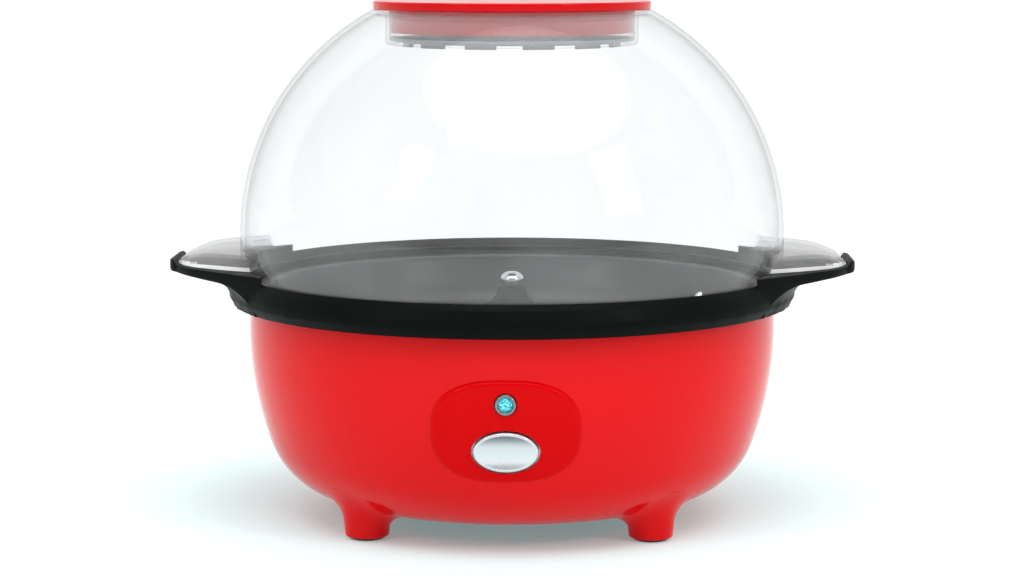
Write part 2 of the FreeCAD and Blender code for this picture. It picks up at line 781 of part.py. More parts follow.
def make_studs():
    """The studs that hang the shield and the motor bracket from the pan."""
    studs = []
    spacers = []
    nuts = []
    levels = [(CLAMP_TOP, PAN_UNDER), (SHIELD_TOP, CLAMP_LOW), (BRACKET_TOP, "shield_height")]
    for i, angle in enumerate(ARM_ANGLES):
        spot = on_circle("stud_circle", angle)
        studs.append(cylinder(f"stud_{i}", "stud_radius", "bracket_height - 5", PAN_UNDER, *spot))
        for k, (low, high) in enumerate(levels):
            spacers.append(ring(f"spacer_{i}_{k}", "spacer_radius", "stud_radius + thread_gap",
                                low, high, *spot))
        nut = doc.addObject("Part::Prism", f"nut_hex_{i}")
        nut.Polygon = 6
        bind(nut, Circumradius="stud_radius * 2", Height="3.2")
        place(nut, *spot, "bracket_height - 3.2")
        bore = cylinder(f"nut_bore_{i}", "stud_radius + thread_gap", "bracket_height - 5",
                        "bracket_height + 1", *spot)
        nuts.append(cut(f"nut_{i}", nut, [bore]))
    node(group("pan_studs", studs), "pan_studs")
    node(group("stud_spacers", spacers), "stud_spacers")
    node(group("stud_nuts", nuts), "stud_nuts")


def make_shield():
    """The heat shield under the element."""
    dish = turned_body("shield_dish", [
        ("8", "shield_height"),
        ("shield_radius", "shield_height"),
        ("shield_radius", f"{SHIELD_TOP} + shield_rim"),
        ("shield_radius - shield_thickness", f"{SHIELD_TOP} + shield_rim"),
        ("shield_radius - shield_thickness", SHIELD_TOP),
        ("8", SHIELD_TOP),
    ])
    holes = []
    for i, angle in enumerate(ARM_ANGLES):
        holes.append(cylinder(f"shield_stud_hole_{i}", "stud_radius + thread_gap",
                              "shield_height - 1", f"{SHIELD_TOP} + 1",
                              *on_circle("stud_circle", angle)))
    for i, angle in enumerate(("element_start - 2", "element_start + element_sweep + 2")):
        holes.append(cylinder(f"shield_pin_hole_{i}", "element_pin + 0.8", "shield_height - 1",
                              f"{SHIELD_TOP} + 1", *on_circle("element_ring", angle)))
    node(cut("heat_shield", dish, holes), "heat_shield")


def make_thermostat():
    """The thermostat on its bracket and the thermal fuse, both against the pan."""
    seat = f"({SHIELD_TOP} + 2.1)"
    body = cylinder("thermostat_body", "thermostat_radius", seat, PAN_UNDER, "thermostat_across")
    tabs = [box(f"thermostat_tab_{i}", ("3", "8", "0.8"),
                ("thermostat_across - 1.5", f"{side} * thermostat_radius - 4", f"{seat} + 3"))
            for i, side in enumerate((-1, 1))]
    node(joined("thermostat", [body, *tabs]), "thermostat")
    node(box("thermostat_bracket", ("2.6 * thermostat_radius", "10", f"{seat} - {SHIELD_TOP}"),
             ("thermostat_across - 1.3 * thermostat_radius", "-5", SHIELD_TOP)),
         "thermostat_bracket")
    fuse = level_cylinder("thermal_fuse", "2", "-5.5", "5.5", "-thermostat_across",
                          f"{PAN_UNDER} - 2.1")
    node(fuse, "thermal_fuse")


# ---- motor and gearbox --------------------------------------------------------------------------

def ear_spot(angle):
    """The centre of one gearbox ear."""
    across, deep = on_circle("gearbox_ear_circle", angle)
    return f"{BOX_ACROSS} + {across}", f"{BOX_DEEP} + {deep}"


def make_bracket():
    """The three-armed motor bracket on the housing's posts, with its screws."""
    parts = [cylinder("bracket_disc", "bracket_disc", "bracket_height", BRACKET_TOP)]
    holes = [cylinder("bracket_shaft_hole", "shaft_radius + 2", "bracket_height - 1",
                      f"{BRACKET_TOP} + 1")]
    screws = []
    for i, angle in enumerate(ARM_ANGLES):
        half = "bracket_arm_width / 2"
        corner = (f"{half} * sin({angle})", f"-({half}) * cos({angle})", "bracket_height")
        parts.append(box(f"bracket_arm_{i}", ("bracket_arm", "bracket_arm_width",
                                              "bracket_thickness"), corner, angle))
        spot = on_circle("post_circle", angle)
        holes.append(cylinder(f"bracket_screw_hole_{i}", "screw_radius + loose_gap",
                              "bracket_height - 1", f"{BRACKET_TOP} + 1", *spot))
        holes.append(cylinder(f"bracket_stud_hole_{i}", "stud_radius + thread_gap",
                              "bracket_height - 1", f"{BRACKET_TOP} + 1",
                              *on_circle("stud_circle", angle)))
        head = cylinder(f"bracket_head_{i}", "screw_radius * 1.9", BRACKET_TOP,
                        f"{BRACKET_TOP} + 1.8", *spot)
        shank = cylinder(f"bracket_shank_{i}", "screw_radius", "bracket_height - 12",
                         f"{BRACKET_TOP} + 0.5", *spot)
        screws.append(joined(f"bracket_screw_{i}", [head, shank]))
    for i, angle in enumerate(EAR_ANGLES):
        holes.append(cylinder(f"bracket_ear_hole_{i}", "screw_radius + thread_gap",
                              "bracket_height - 1", f"{BRACKET_TOP} + 1", *ear_spot(angle)))
    node(cut("motor_bracket", joined("bracket_star", parts), holes), "motor_bracket")
    node(group("bracket_screws", screws), "bracket_screws")


def make_gearbox():
    """The gearbox cover, its base plate, the long screws and the fixed gear pins."""
    centre = (BOX_ACROSS, BOX_DEEP)
    roof = "(bracket_height - 2)"
    cover = [cylinder("cover_can", "gearbox_radius", "gearbox_low", "bracket_height", *centre)]
    plate = [cylinder("plate_disc", "gearbox_radius", PLATE_LOW, "gearbox_low", *centre)]
    room = cylinder("cover_room", "gearbox_radius - gearbox_wall", "gearbox_low - 1", roof, *centre)
    cover_holes = [cylinder("cover_shaft_hole", "shaft_radius + running_gap", "gearbox_low",
                            "bracket_height + 1")]
    plate_holes = [cylinder("plate_shaft_hole", "shaft_radius + running_gap", f"{PLATE_LOW} - 1",
                            "gearbox_low + 1"),
                   cylinder("plate_rotor_hole", "gear_module * (pinion_teeth / 2 + 1) + 0.5",
                            f"{PLATE_LOW} - 1", "gearbox_low + 1", ROTOR_ACROSS, ROTOR_DEEP)]
    screws = []
    for i, angle in enumerate(EAR_ANGLES):
        spot = ear_spot(angle)
        cover.append(cylinder(f"cover_ear_{i}", "gearbox_ear", "gearbox_low", "bracket_height", *spot))
        plate.append(cylinder(f"plate_ear_{i}", "gearbox_ear", PLATE_LOW, "gearbox_low", *spot))
        for part_name, holes in (("cover", cover_holes), ("plate", plate_holes)):
            holes.append(cylinder(f"{part_name}_ear_hole_{i}", "screw_radius + thread_gap",
                                  f"{PLATE_LOW} - 1", "bracket_height + 1", *spot))
        head = cylinder(f"gearbox_head_{i}", "screw_radius * 1.9", f"{PLATE_LOW} - 1.8", PLATE_LOW,
                        *spot)
        shank = cylinder(f"gearbox_shank_{i}", "screw_radius", f"{PLATE_LOW} - 1", BRACKET_TOP, *spot)
        screws.append(joined(f"gearbox_screw_{i}", [head, shank]))
    pin_spot = (GEAR_DISTANCE, "0")
    gear_pin = cylinder("gear_pin", "pin_radius", PLATE_LOW, "bracket_height - 0.5", *pin_spot)
    rotor_pin = cylinder("rotor_pin", "pin_radius", f"{MOTOR_LOW} + motor_wall",
                         "gearbox_low + 5.2", ROTOR_ACROSS, ROTOR_DEEP)
    for part_name, holes in (("cover", cover_holes), ("plate", plate_holes)):
        holes.append(cylinder(f"{part_name}_pin_hole", "pin_radius + thread_gap",
                              f"{PLATE_LOW} - 1", "bracket_height - 0.5", *pin_spot))
    hollow = cut("cover_hollow", joined("cover_outside", cover), [room])
    node(cut("gearbox_cover", hollow, cover_holes), "gearbox_cover")
    node(cut("gearbox_plate", joined("plate_outline", plate), plate_holes), "gearbox_plate")
    node(group("gearbox_screws", screws), "gearbox_screws")
    node(group("gearbox_pins", [gear_pin, rotor_pin]), "gearbox_pins")


def make_motor():
    """The motor's steel can and its coil."""
    spot = (ROTOR_ACROSS, ROTOR_DEEP)
    can = cylinder("can_outside", "motor_radius", MOTOR_LOW, PLATE_LOW, *spot)
    room = cylinder("can_room", "motor_radius - motor_wall", f"{MOTOR_LOW} + motor_wall",
                    f"{PLATE_LOW} + 1", *spot)
    node(cut("motor_can", can, [room]), "motor_can")
    node(ring("motor_coil", "coil_outer", "coil_inner", f"{MOTOR_LOW} + motor_wall",
              f"{PLATE_LOW} - 1.5", *spot), "motor_coil")


def toothed(teeth, width):
    """A spur gear standing on the XY plane."""
    builder = fcgear.FCWireBuilder()
    involute.CreateExternalGear(builder, number("gear_module"), teeth, 20, split=True)
    outline = Part.Wire([edge.toShape() for edge in builder.wire])
    return Part.Face(outline).extrude(FreeCAD.Vector(0, 0, width))


def gear_feature(label, shape, across, deep, height, turn):
    """A gear in its place, turned so that its teeth are in mesh."""
    item = doc.addObject("Part::Feature", label)
    item.Shape = shape
    spot = FreeCAD.Vector(number(across), number(deep), number(height))
    item.Placement = FreeCAD.Placement(spot, FreeCAD.Rotation(FreeCAD.Vector(0, 0, 1), turn))
    node(item, label)


def bored(shape, radius, height):
    """A gear shape with its bore."""
    return shape.cut(Part.makeCylinder(radius, height + 2, FreeCAD.Vector(0, 0, -1)))


def make_gears():
    """The rotor with its pinion, the stepped gear and the output gear."""
    pinion = int(number("pinion_teeth"))
    wheel = int(number("wheel_teeth"))
    width = number("gear_width")
    pin_bore = number("pin_radius + running_gap")
    half_pitch = 180.0 / pinion
    magnet = number("motor_height - motor_wall") - 2.4
    rise = number(f"gearbox_low - ({MOTOR_LOW} + motor_wall)")
    rotor = Part.makeCylinder(number("magnet_radius"), magnet, FreeCAD.Vector(0, 0, 0.4))
    sleeve = Part.makeCylinder(number("gear_module * pinion_teeth / 2 - 1.2"), rise)
    teeth = toothed(pinion, width + 0.6)
    teeth.translate(FreeCAD.Vector(0, 0, rise + 0.5))
    sleeve.translate(FreeCAD.Vector(0, 0, 0.6))
    rotor = bored(rotor.fuse([sleeve, teeth]).removeSplitter(), pin_bore, rise + 10)
    gear_feature("motor_rotor", rotor, ROTOR_ACROSS, ROTOR_DEEP, f"{MOTOR_LOW} + motor_wall",
                 half_pitch)
    stepped = toothed(wheel, width)
    upper = toothed(pinion, width + 2)
    upper.rotate(FreeCAD.Vector(), FreeCAD.Vector(0, 0, 1), half_pitch)
    upper.translate(FreeCAD.Vector(0, 0, width - 0.1))
    stepped = bored(stepped.fuse(upper).removeSplitter(), pin_bore, 2 * width + 4)
    gear_feature("stepped_gear", stepped, GEAR_DISTANCE, "0", "gearbox_low + 0.8", 0)
    output = bored(toothed(wheel, width), number("shaft_radius + thread_gap"), width)
    gear_feature("output_gear", output, "0", "0", "gearbox_low + 6.2", 0)


# ---- shaft and stirrer --------------------------------------------------------------------------

def make_shaft():
    """The drive shaft, its bushing in the pan and the seal above it."""
    bushing_top = "(pan_floor + 1.2)"
    node(cylinder("drive_shaft", "shaft_radius", f"{PLATE_LOW} + 0.3", "hub_high + 2"), "drive_shaft")
    node(turned_body("shaft_bushing", [
        ("shaft_radius + running_gap", f"{PAN_UNDER} - 4"),
        ("bushing_radius + 3", f"{PAN_UNDER} - 4"),
        ("bushing_radius + 3", PAN_UNDER),
        ("bushing_radius", PAN_UNDER),
        ("bushing_radius", bushing_top),
        ("shaft_radius + running_gap", bushing_top),
    ]), "shaft_bushing")
    node(ring("shaft_seal", "bushing_radius + 1.5", "shaft_radius + running_gap", bushing_top,
              "hub_low - 0.4"), "shaft_seal")


def rod_shape(points, radius):
    """A round rod along straight runs that are joined by tangent arcs."""
    pieces = []
    start = points[0]
    for before, corner, after in zip(points, points[1:], points[2:]):
        run_in = corner.sub(before)
        run_out = after.sub(corner)
        half_turn = run_in.getAngle(run_out) / 2
        reach = 0.45 * min(run_in.Length, run_out.Length)
        enter = corner.sub(FreeCAD.Vector(run_in).normalize() * reach)
        leave = corner.add(FreeCAD.Vector(run_out).normalize() * reach)
        inward = ((enter + leave) * 0.5).sub(corner).normalize()
        bend = reach / math.tan(half_turn)
        middle = corner.add(inward * (bend / math.cos(half_turn) - bend))
        pieces.append(Part.LineSegment(start, enter).toShape())
        pieces.append(Part.Arc(enter, middle, leave).toShape())
        start = leave
    pieces.append(Part.LineSegment(start, points[-1]).toShape())
    heading = points[1].sub(points[0])
    section = Part.Wire(Part.Circle(points[0], heading, radius).toShape())
    return Part.Wire(pieces).makePipeShell([section], True, False)


def make_stirrer():
    """The hub, its two bent rods and the cap nut."""
    hub = turned_body("hub_turned", [
        ("shaft_radius + thread_gap", "hub_low"),
        ("hub_foot_radius", "hub_low"),
        ("hub_foot_radius", "hub_low + 8", "12", "right"),
        ("hub_top_radius", "hub_low + 14"),
        ("hub_top_radius", "hub_high"),
        ("shaft_radius + thread_gap", "hub_high"),
    ])
    rod = number("rod_radius")
    root = number("shaft_radius + 0.6")
    high = number("rod_height")
    low = number("rod_height - rod_drop")
    rods = []
    for reach, lift, turn in (("long_rod", 9.0, 0), ("short_rod", 4.5, 180)):
        end = number(reach)
        profile = [(root, high), (20.0, high), (30.0, low), (end - 12.0, low), (end, low + lift)]
        bent = rod_shape([FreeCAD.Vector(x, 0, z) for x, z in profile], rod)
        bent.rotate(FreeCAD.Vector(), FreeCAD.Vector(0, 0, 1), turn + 24)
        rods.append(bent)
    item = doc.addObject("Part::Feature", "stirring_rods")
    item.Shape = Part.makeCompound(rods)
    item.Placement = FreeCAD.Placement()
    node(item, "stirring_rods")
    holes = []
    for i, turn in enumerate((24, 204)):
        hole = doc.addObject("Part::Cylinder", f"rod_hole_{i}")
        bind(hole, Radius="rod_radius + thread_gap", Height="hub_foot_radius")
        hole.Placement.Rotation = FreeCAD.Rotation(turn, 90, 0)
        place(hole, *on_circle("shaft_radius + 0.6", turn), "rod_height")
        holes.append(hole)
    node(cut("stir_hub", hub, holes), "stir_hub")
    node(turned_body("hub_nut", [
        ("shaft_radius + thread_gap", "hub_high"),
        ("nut_radius", "hub_high"),
        ("nut_radius", "hub_high + 3", "(nut_radius^2 + nut_rise^2) / (2 * nut_rise)", "left"),
        ("0", "hub_high + 3 + nut_rise"),
        ("0", "hub_high + 2.1"),
        ("shaft_radius + thread_gap", "hub_high + 2.1"),
    ]), "hub_nut")


# ---- front controls -----------------------------------------------------------------------------

def make_button():
    """The dished oval button with its retaining flange."""
    low = "button_height - 20"
    high = "button_height + 20"
    proud = "(panel_proud_top + panel_proud_bottom) / 2 + button_proud"
    face = turned_body("button_face_bulk", [
        ("90", low),
        (f"{side_radius(low)} + {proud}", low, "side_arc + 2", "left"),
        (f"{side_radius(high)} + {proud}", high),
        ("90", high),
    ])
    prism = oval("button_prism", "button_half_width", "button_half_height", "-rim_radius - 10",
                 BUTTON_FLANGE_BACK, "button_height")
    cap = common("button_cap", prism, face)
    flange = oval("button_flange_oval", "button_half_width + button_flange",
                  "button_half_height + button_flange", BUTTON_FLANGE_FRONT, BUTTON_FLANGE_BACK,
                  "button_height")
    dish = doc.addObject("Part::Ellipsoid", "button_dish")
    tilt = math.degrees(math.asin(number("(side_arc_top - button_height) / side_arc")))
    bind(dish, Radius1="2.2", Radius2="button_half_width - 1.6", Radius3="button_half_height - 1.6")
    dish.Placement.Rotation = FreeCAD.Rotation(FreeCAD.Vector(1, 0, 0), 90 + tilt)
    bind(dish, Angle1="-90", Angle2="90", Angle3="360")
    place(dish, "0", f"-({side_radius('button_height')} + {proud}) - 0.2", "button_height")
    node(cut("power_button", joined("button_whole", [cap, flange]), [dish]), "power_button")


def make_switch():
    """The plunger, its spring, the push switch and the plate that carries it."""
    height = "button_height"
    bore_depth = "9"
    plunger_end = f"({PLATE_BACK} + 5)"
    node(level_cylinder("switch_plunger", "plunger_radius", BUTTON_FLANGE_BACK, plunger_end, "0",
                        height), "switch_plunger")
    plate = box("switch_plate_raw", ("2 * switch_plate_half_width", "switch_plate_thickness",
                                     "switch_plate_high - switch_plate_low"),
                ("-switch_plate_half_width", PLATE_FRONT, "switch_plate_low"))
    holes = [level_cylinder("plate_plunger_hole", "plunger_radius + loose_gap",
                            f"{PLATE_FRONT} - 1", f"{PLATE_BACK} + 1", "0", height),
             level_cylinder("plate_lamp_hole", "lamp_radius + thread_gap", f"{PLATE_FRONT} - 1",
                            f"{PLATE_BACK} + 1", "0", "lamp_height")]
    screws = []
    for i, side in enumerate((-1, 1)):
        across = f"{side} * switch_boss_across"
        holes.append(level_cylinder(f"plate_screw_hole_{i}", "small_screw + loose_gap",
                                    f"{PLATE_FRONT} - 1", f"{PLATE_BACK} + 1", across,
                                    "switch_boss_height"))
        shank = level_cylinder(f"plate_shank_{i}", "small_screw", f"{PLATE_FRONT} - 7",
                               f"{PLATE_BACK} + 0.5", across, "switch_boss_height")
        head = level_cylinder(f"plate_head_{i}", "small_screw * 2", PLATE_BACK,
                              f"{PLATE_BACK} + 1.5", across, "switch_boss_height")
        screws.append(joined(f"plate_screw_{i}", [shank, head]))
    node(cut("switch_plate", plate, holes), "switch_plate")
    node(group("switch_plate_screws", screws), "switch_plate_screws")
    block = box("switch_block", ("2 * switch_half_width", "switch_depth", "2 * switch_half_height"),
                ("-switch_half_width", PLATE_BACK, "button_height - switch_half_height"))
    bore = level_cylinder("switch_bore", "plunger_radius + running_gap", f"{PLATE_BACK} - 1",
                          f"{PLATE_BACK} + {bore_depth}", "0", height)
    node(cut("push_switch", block, [bore]), "push_switch")
    make_spring(height)


def make_spring(height):
    """The coil spring between the button's flange and the switch plate."""
    body = new_body("spring_body")
    sketch = sketch_on(body, "XZ_Plane", "spring_wire_sketch")
    radius = number("spring_radius")
    wire = Part.Circle(FreeCAD.Vector(radius, 0, 0), FreeCAD.Vector(0, 0, 1), number("spring_wire"))
    sketch.addGeometry(wire, False)
    sketch.addConstraint(Sketcher.Constraint("Radius", 0, number("spring_wire")))
    sketch.renameConstraint(0, "wire")
    sketch.setExpression("Constraints.wire", cells("spring_wire"))
    pin_point(sketch, 0, 3, "spring_radius", "X", "coil_radius")
    pin_point(sketch, 0, 3, "0", "Y", "coil_foot")
    coil = body.newObject("PartDesign::AdditiveHelix", "spring_coil")
    coil.Profile = sketch
    coil.ReferenceAxis = (sketch, ["V_Axis"])
    coil.Mode = 0
    room = f"({PLATE_FRONT} - {BUTTON_FLANGE_BACK} - 2 * spring_wire - 0.2)"
    bind(coil, Pitch=f"{room} / spring_coils", Height=room)
    body.Placement.Rotation = AXIS_Y
    place(body, "0", f"{BUTTON_FLANGE_BACK} + spring_wire + 0.1", height)
    node(body, "return_spring")


def make_lamp():
    """The indicator's bezel, lens and lamp."""
    height = "lamp_height"
    face = f"({FRONT_SKIN} - 0.5)"
    back = f"({FRONT_SKIN} + 7)"
    collar = level_cylinder("bezel_collar", "bezel_radius", face,
                             f"{FRONT_SKIN} + bezel_depth", "0", height)
    tube = level_cylinder("bezel_tube", "bezel_tube", f"{FRONT_SKIN} + 0.5", back, "0", height)
    bore = level_cylinder("bezel_bore", "lens_radius + thread_gap", f"{face} - 1", f"{back} + 1",
                          "0", height)
    node(cut("indicator_bezel", joined("bezel_whole", [collar, tube]), [bore]), "indicator_bezel")
    node(level_cylinder("indicator_lens", "lens_radius", f"{face} + 0.15", f"{face} + 4", "0",
                        height), "indicator_lens")
    node(level_cylinder("indicator_lamp", "lamp_radius", f"{face} + 4", f"{PLATE_BACK} + 2", "0",
                        height), "indicator_lamp")


# ---- mains side ---------------------------------------------------------------------------------

def make_inlet():
    """The cord's gland in the back of the housing and the terminal block."""
    body_end = "inlet_face - 12"
    parts = [
        level_cylinder("gland_tube", "inlet_bore + 2", body_end, "inlet_face + 1", "0",
                       "inlet_height"),
        level_cylinder("gland_flange", "inlet_bore + 4.5", "inlet_face", "inlet_face + 3", "0",
                       "inlet_height"),
        level_cylinder("gland_nose", "inlet_bore + 2.4", "inlet_face + 2", "inlet_face + 10", "0",
                       "inlet_height"),
    ]
    bore = level_cylinder("gland_bore", "inlet_bore", f"{body_end} - 1", "inlet_face + 11", "0",
                          "inlet_height")
    node(cut("cord_gland", joined("gland_whole", parts), [bore]), "cord_gland")
    node(box("terminal_block", ("26", "9", "12"), ("-13", "ledge_inner + 0.5", LEDGE_TOP)),
         "terminal_block")


def make_wiring():
    """The insulated leads between the terminal block, switch, lamp, motor and element."""
    front = number("ledge_inner + 0.5")
    switch_back = number(f"{PLATE_BACK} + switch_depth")
    plate_back = number(PLATE_BACK)
    block_top = number(LEDGE_TOP) + 12
    pin_end = number("shield_height - 6")
    pins = [[number(part) for part in on_circle("element_ring", angle)]
            for angle in ("element_start - 2", "element_start + element_sweep + 2")]
    can_back = number(f"{ROTOR_DEEP} + motor_radius")
    can_across = number(ROTOR_ACROSS)
    routes = [
        [(-8, front - 0.3, 19), (-12, 42, 17), (-14, 0, 16.5), (-9, -36, 18), (-4, -56, 30),
         (-4, -62, 46), (-4, switch_back + 0.2, 47)],
        [(8, front - 0.3, 19), (12, 42, 17), (14, 0, 16.5), (9, -36, 18), (4, -56, 30),
         (4, -62, 46), (4, switch_back + 0.2, 47)],
        [(can_across, front - 0.3, 17), (can_across, 46, 19), (can_across, 38, 30),
         (can_across, can_back + 0.3, 33)],
        [(0, plate_back + 2.3, number("lamp_height")), (0, plate_back + 5, 66.8),
         (0, plate_back + 6, 61), (0, plate_back + 6, number("button_height") + 7.1)],
        [(-12, front - 0.9, 22), (-40, 46, 20), (-62, 26, 30), (pins[0][0], pins[0][1], 44),
         (pins[0][0], pins[0][1], pin_end)],
        [(-10, 67, block_top + 0.9), (-20, 66, 36), (-36, 58, 46),
         (pins[1][0], pins[1][1], 51), (pins[1][0], pins[1][1], pin_end)],
    ]
    leads = [rod_shape([FreeCAD.Vector(*spot) for spot in route], 1.1) for route in routes]
    item = doc.addObject("Part::Feature", "wiring_leads")
    item.Shape = Part.makeCompound(leads)
    item.Placement = FreeCAD.Placement()
    node(item, "wiring_leads")


# ---- dome, vent and cap -------------------------------------------------------------------------

def tab_section(body, name, side, reach, half, high, inset):
    """One upright section through a wing cover of the dome."""
    sketch = sketch_on(body, "YZ_Plane", name, f"{side} * ({reach})")
    low = "wing_top + 0.3" if inset == "0" else "wing_top - 2"
    return draw(sketch, [
        (f"-({half}) + {inset}", low),
        (f"{half} - {inset}", low),
        (f"{half} - tab_lean - {inset}", f"{high} - {inset}"),
        (f"-({half}) + tab_lean + {inset}", f"{high} - {inset}"),
    ])


def make_dome():
    """The clear dome with its neck and the hollow covers over the wings."""
    body = new_body("dome_cover")
    arc = (
        "((dome_radius - dome_mouth)^2 + (dome_top - dome_straight_top)^2)"
        " / (2 * (dome_radius - dome_mouth))"
    )
    centre = f"(dome_radius - {arc})"
    root_reach = "(dome_radius - 17)"
    root_high = (
        "(tab_root_height + (tab_root_height - tab_tip_height) * (dome_radius - "
        f"{root_reach}) / (tab_reach - dome_radius))"
    )
    root_half = (
        "(tab_root_half + (tab_root_half - tab_tip_half) * (dome_radius - 4 - "
        f"{root_reach}) / (tab_reach - dome_radius + 4))"
    )
    for kind, inset in (("Additive", "0"), ("Subtractive", "tab_wall")):
        for side in (1, -1):
            tag = f"{kind.lower()}_{'right' if side > 0 else 'left'}"
            root = tab_section(body, f"{tag}_root", side, root_reach, root_half, root_high, inset)
            tip = tab_section(body, f"{tag}_tip", side, f"tab_reach - {inset}", "tab_tip_half",
                              "tab_tip_height", inset)
            loft = body.newObject(f"PartDesign::{kind}Loft", f"{tag}_tab")
            loft.Profile = root
            loft.Sections = [tip]
            loft.Ruled = True
    turned(body, "dome_bulk", [
        ("0", "dome_seat"),
        ("dome_radius", "dome_seat"),
        ("dome_radius", "dome_straight_top", arc, "left"),
        ("dome_mouth", "dome_top"),
        ("0", "dome_top"),
    ])
    roof = "(dome_top - 2)"
    turned(body, "dome_room", [
        ("0", "dome_seat - 5"),
        ("dome_radius - dome_wall", "dome_seat - 5"),
        ("dome_radius - dome_wall", "dome_straight_top", f"{arc} - dome_wall", "left"),
        (f"{centre} + sqrt(({arc} - dome_wall)^2 - ({roof} - dome_straight_top)^2)", roof),
        ("neck_inner + neck_wall", roof),
        ("neck_inner + neck_wall", "neck_bottom"),
        ("0", "neck_bottom"),
    ], "Groove")
    turned(body, "neck_room", [
        ("0", "neck_bottom - 1"),
        ("neck_ledge", "neck_bottom - 1"),
        ("neck_ledge", NECK_SEAT),
        ("neck_inner", NECK_SEAT),
        ("neck_inner", "dome_top + 1"),
        ("0", "dome_top + 1"),
    ], "Groove")
    node(body, "dome_cover")


def make_vent():
    """The slotted vent that lies on the ledge in the neck."""
    plate = cylinder("vent_plate", "neck_inner - seat_gap", NECK_SEAT,
                     f"{NECK_SEAT} + vent_thickness")
    rim = ring("vent_rim", "vent_ring", "vent_ring - 2", f"{NECK_SEAT} - 2.4",
               f"{NECK_SEAT} + 0.5")
    slots = []
    for i in range(12):
        angle = i * 30
        corner = (f"36 * cos({angle}) + 5.5 * sin({angle})",
                  f"36 * sin({angle}) - 5.5 * cos({angle})", f"{NECK_SEAT} - 3")
        slots.append(box(f"vent_window_{i}", ("14", "11", "2.2"), corner, angle))
    for row, (start, count, span) in enumerate(((14, 12, 12), (30, 24, 12))):
        for i in range(count):
            angle = i * 360 / count
            corner = (f"{start} * cos({angle}) + 1.5 * sin({angle})",
                      f"{start} * sin({angle}) - 1.5 * cos({angle})", f"{NECK_SEAT} - 1")
            slots.append(box(f"vent_slot_{row}_{i}", (str(span), "3", "6"), corner, angle))
    node(cut("vent_grille", joined("vent_solid", [plate, rim]), slots), "vent_grille")


def make_cap():
    """The measuring cap, a shallow cup that closes the neck."""
    rim_low = "dome_top"
    node(turned_body("measuring_cap", [
        ("0", "cap_height - cap_wall"),
        ("cap_skirt - cap_wall", "cap_height - cap_wall"),
        ("cap_skirt - cap_wall", "cap_skirt_low"),
        ("cap_skirt", "cap_skirt_low"),
        ("cap_skirt", rim_low),
        ("cap_radius - cap_edge", rim_low, "cap_edge", "left"),
        ("cap_radius", f"{rim_low} + cap_edge"),
        ("cap_radius", "cap_height - cap_edge", "cap_edge", "left"),
        ("cap_radius - cap_edge", "cap_height"),
        ("0", "cap_height"),
    ]), "measuring_cap")


def check_document():
    """Stops if any object failed or any sub-part isn't a sound solid."""
    for item in doc.Objects:
        if "Invalid" in item.State or "Error" in item.State:
            raise RuntimeError(f"{item.Name} failed: {item.State}")
    for item in nodes:
        if item.Shape.isNull() or not item.Shape.isValid() or not item.Shape.Solids:
            raise RuntimeError(f"{item.Label} has no sound shape")


def write_parts():
    """Writes one STEP file for each sub-part."""
    os.makedirs("parts", exist_ok=True)
    for item in nodes:
        item.Shape.exportStep(os.path.join("parts", item.Label + ".step"))
        print(f"{item.Label}: {len(item.Shape.Solids)} solids, {item.Shape.Volume:.1f} mm3")


make_base_housing()
make_bottom()
make_handle_collar()
make_pan()
make_heater()
make_studs()
make_shield()
make_thermostat()
make_bracket()
make_gearbox()
make_motor()
make_gears()
make_shaft()
make_stirrer()
make_button()
make_switch()
make_lamp()
make_inlet()
make_wiring()
make_dome()
make_vent()
make_cap()
doc.recompute()
check_document()
write_parts()
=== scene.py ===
import math

import bmesh
import bpy
import numpy as np
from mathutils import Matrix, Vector


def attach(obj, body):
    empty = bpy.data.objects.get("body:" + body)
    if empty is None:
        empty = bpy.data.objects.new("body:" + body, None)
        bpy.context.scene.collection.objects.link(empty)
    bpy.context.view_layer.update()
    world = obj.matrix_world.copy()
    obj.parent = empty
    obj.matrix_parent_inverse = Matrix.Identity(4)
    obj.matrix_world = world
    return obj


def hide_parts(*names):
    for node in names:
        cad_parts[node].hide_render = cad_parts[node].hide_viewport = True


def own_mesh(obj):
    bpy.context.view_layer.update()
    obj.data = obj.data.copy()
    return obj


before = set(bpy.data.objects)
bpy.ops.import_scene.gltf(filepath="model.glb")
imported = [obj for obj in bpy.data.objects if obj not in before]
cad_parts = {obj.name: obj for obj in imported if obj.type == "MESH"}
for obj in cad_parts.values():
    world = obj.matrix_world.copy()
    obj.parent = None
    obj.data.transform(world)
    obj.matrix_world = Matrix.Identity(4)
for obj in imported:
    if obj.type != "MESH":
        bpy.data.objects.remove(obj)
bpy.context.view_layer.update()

MM = 0.001
scene = bpy.context.scene
scene.view_settings.view_transform = "Standard"

# ---- sizes of the object in millimetres, as the CAD has them --------------------------------------
RIM_HEIGHT = 94.5
SIDE_ARC = 150.0
SIDE_CENTRE = (-34.2, 84.0)
BELLY_ARC = 36.0
BELLY_CENTRE = (73.1, 45.5)
BODY_BOTTOM = 9.5
WALL = 2.6
LEG_AT = (60.3, 60.0)
PANEL_HALF = (30.6, 21.8)
PANEL_HEIGHT = 55.4
PANEL_POWER = 2.6
BUTTON_HALF = (13.3, 8.6)
BUTTON_HEIGHT = 47.0
LAMP_HEIGHT = 67.3
BEZEL_RADIUS = 4.3
INLET_HEIGHT = 40.0
INLET_FACE = 111.5
INLET_BORE = 3.5
COLLAR_RADIUS = 124.6
COLLAR_TOP = 108.5
PAN_SEAT = 100.0
PAN_FLOOR = 79.8
PAN_WALL = 2.0
PAN_CORNER = 13.0
PAN_CORNER_CENTRE = (91, 92.8)
DOME_RADIUS = 119.6
DOME_SEAT = 104.5
DOME_WALL = 2.0
DOME_TOP = 222.4
DOME_ARC = 111.8
DOME_CENTRE = (7.8, 124.0)
NECK_INNER = 53.8
NECK_LEDGE = 50.5
NECK_LOW = 207.2
